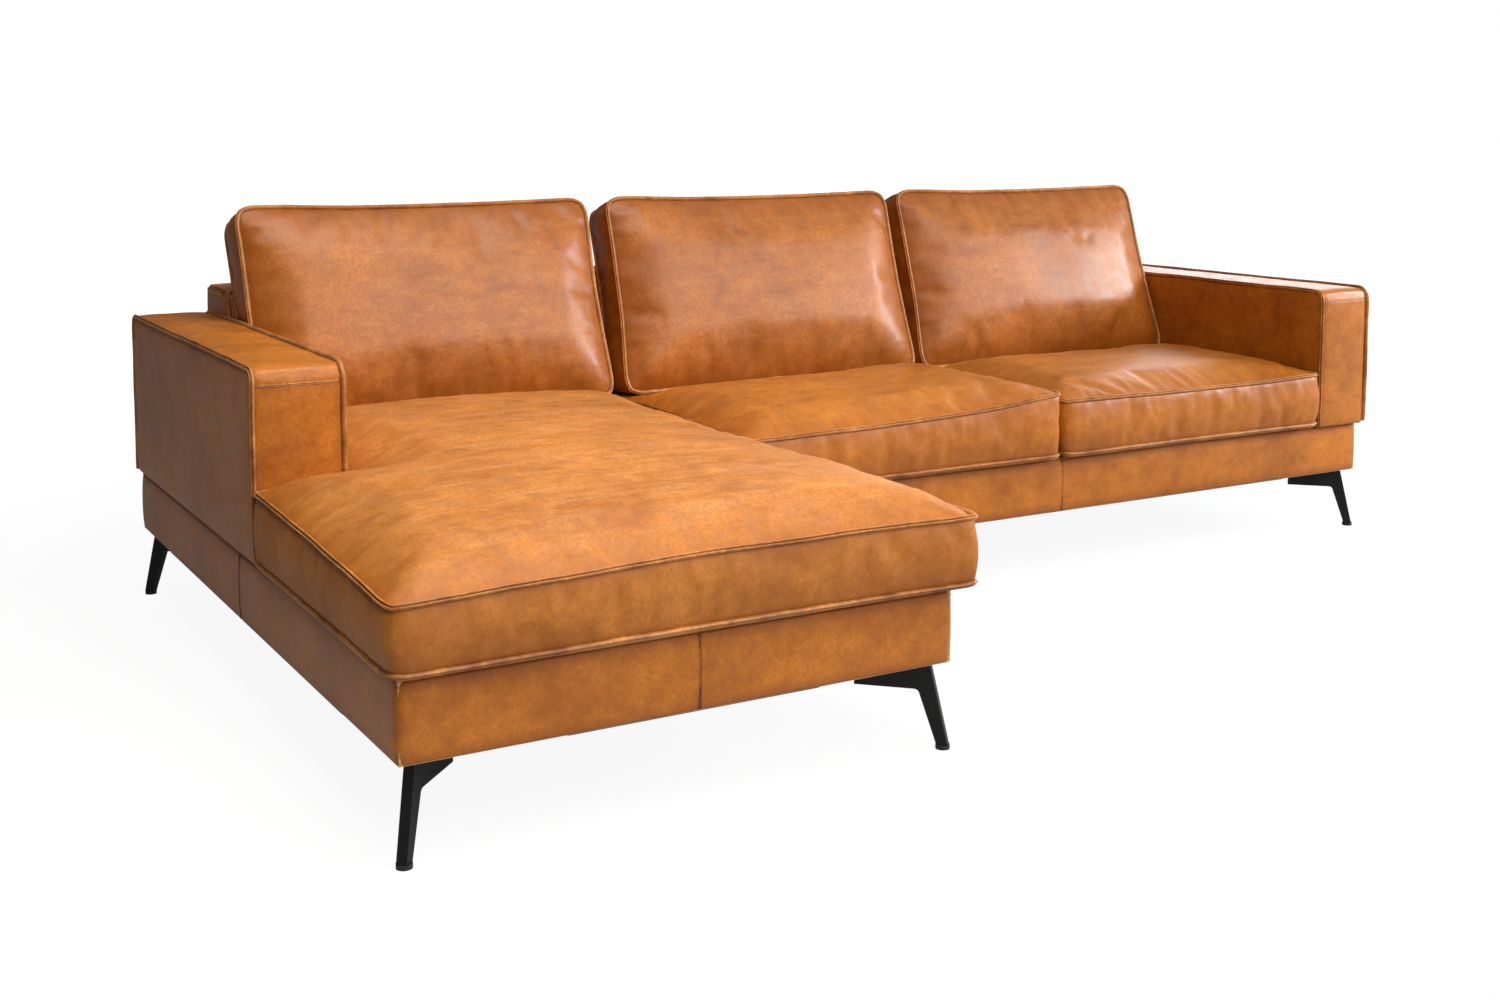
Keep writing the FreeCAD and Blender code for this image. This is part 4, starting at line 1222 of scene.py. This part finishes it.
def seen_rays(tree):
    """The share of white that a ray sees: from the camera, through glass and, dimmer, off gloss."""
    rays = add(tree, "ShaderNodeLightPath")
    seen = add(tree, "ShaderNodeMath",
               {0: rays.outputs["Is Camera Ray"], 1: rays.outputs["Is Transmission Ray"]},
               operation="MAXIMUM")
    gloss = add(tree, "ShaderNodeMath", {0: rays.outputs["Is Glossy Ray"], 1: GLOSS_SHARE},
                operation="MULTIPLY")
    seen = add(tree, "ShaderNodeMath", {0: seen.outputs[0], 1: gloss.outputs[0]}, operation="MAXIMUM")
    return seen.outputs[0]


def floor_paint():
    """Matt pale floor paint that the camera sees nearly as white as the background."""
    material, tree, shader, place = new_material("pale_floor")
    scuffs = add(tree, "ShaderNodeTexNoise", {"Vector": place, "Scale": 2, "Detail": 3})
    tone = add(tree, "ShaderNodeMix",
               {0: scuffs.outputs["Fac"], 6: linear("#B4B4B4"), 7: linear("#BABABA")}, data_type="RGBA")
    tree.links.new(tone.outputs[2], shader.inputs["Base Color"])
    shader.inputs["Roughness"].default_value = 0.9
    shader.inputs["Specular IOR Level"].default_value = 0
    white = add(tree, "ShaderNodeEmission", {"Strength": FLOOR_GLOW})
    white.inputs["Color"].default_value = (1, 1, 1, 1)
    far = add(tree, "ShaderNodeVectorMath", {0: place}, operation="LENGTH")
    fade = add(tree, "ShaderNodeMapRange",
               {0: far.outputs["Value"], 1: FLOOR_FADE[0], 2: FLOOR_FADE[1], 3: FLOOR_WHITE[0],
                4: FLOOR_WHITE[1]})
    share = add(tree, "ShaderNodeMath", {0: seen_rays(tree), 1: fade.outputs[0]}, operation="MULTIPLY")
    both = add(tree, "ShaderNodeMixShader",
               {0: share.outputs[0], 1: shader.outputs[0], 2: white.outputs[0]})
    output = next(node for node in tree.nodes if node.type == "OUTPUT_MATERIAL")
    tree.links.new(both.outputs[0], output.inputs["Surface"])
    return material


# Each lamp's place, aim, size, power, tint and spread in degrees
LAMPS = (
    ("window", (3.9, -1.35, 1.65), (0.4, 0.1, 0.5), (1.2, 0.9), 116, (0.90, 0.95, 1.0), 180),
    ("rear_window", (3.4, 2.9, 1.7), (0.2, -0.1, 0.4), (2.4, 1.4), 50, (0.92, 0.96, 1.0), 180),
    ("front_soft", (1.2, -3.7, 2.9), (-0.3, -0.2, 0.3), (4.2, 2.6), 112, (1.0, 0.965, 0.90), 180),
    ("overhead", (-0.9, -1.0, 2.8), (-0.9, -0.9, 0), (2.4, 2.4), 32, (1.0, 0.975, 0.93), 95),
)


def make_studio():
    """The floor and the lamps."""
    bm = bmesh.new()
    bmesh.ops.create_grid(bm, x_segments=1, y_segments=1, size=FLOOR_SIZE / 2)
    mesh = bpy.data.meshes.new("floor")
    bm.to_mesh(mesh)
    bm.free()
    floor = bpy.data.objects.new("floor", mesh)
    bpy.context.scene.collection.objects.link(floor)
    mesh.materials.append(floor_paint())
    for name, place, target, size, power, tint, spread in LAMPS:
        data = bpy.data.lights.new(name, "AREA")
        data.shape = "RECTANGLE"
        data.size, data.size_y = size
        data.energy = power
        data.color = tint
        data.spread = math.radians(spread)
        lamp = bpy.data.objects.new(name, data)
        lamp.location = place
        aim = Vector(target) - Vector(place)
        lamp.rotation_euler = aim.to_track_quat("-Z", "Y").to_euler()
        bpy.context.scene.collection.objects.link(lamp)


# The even fill comes from the side of the lamps, and leaves the outer side of the chaise dark. It
# grows from least, a little past square to this way, to most along it
FILL_WAY = (0.66, -0.56, 0.50)
FILL_START = -0.1
FILL_LEAST = 0.01
FILL_MOST = 0.62


def make_world():
    """A white background where it is seen, and a dim fill from the side of the lamps for the rest."""
    world = bpy.data.worlds.new("studio")
    bpy.context.scene.world = world
    world.use_nodes = True
    tree = world.node_tree
    tree.nodes.clear()
    way = add(tree, "ShaderNodeTexCoord").outputs["Generated"]
    facing = add(tree, "ShaderNodeVectorMath", {0: way, 1: FILL_WAY}, operation="DOT_PRODUCT")
    fill = add(tree, "ShaderNodeMapRange",
               {0: facing.outputs["Value"], 1: FILL_START, 2: 1, 3: FILL_LEAST, 4: FILL_MOST})
    strength = add(tree, "ShaderNodeMix", {0: seen_rays(tree), 2: fill.outputs[0], 3: 1.0})
    background = add(tree, "ShaderNodeBackground", {"Strength": strength.outputs[0]})
    background.inputs["Color"].default_value = (1, 1, 1, 1)
    add(tree, "ShaderNodeOutputWorld", {"Surface": background.outputs[0]})


make_studio()
make_world()
bpy.context.scene.view_settings.view_transform = "Standard"
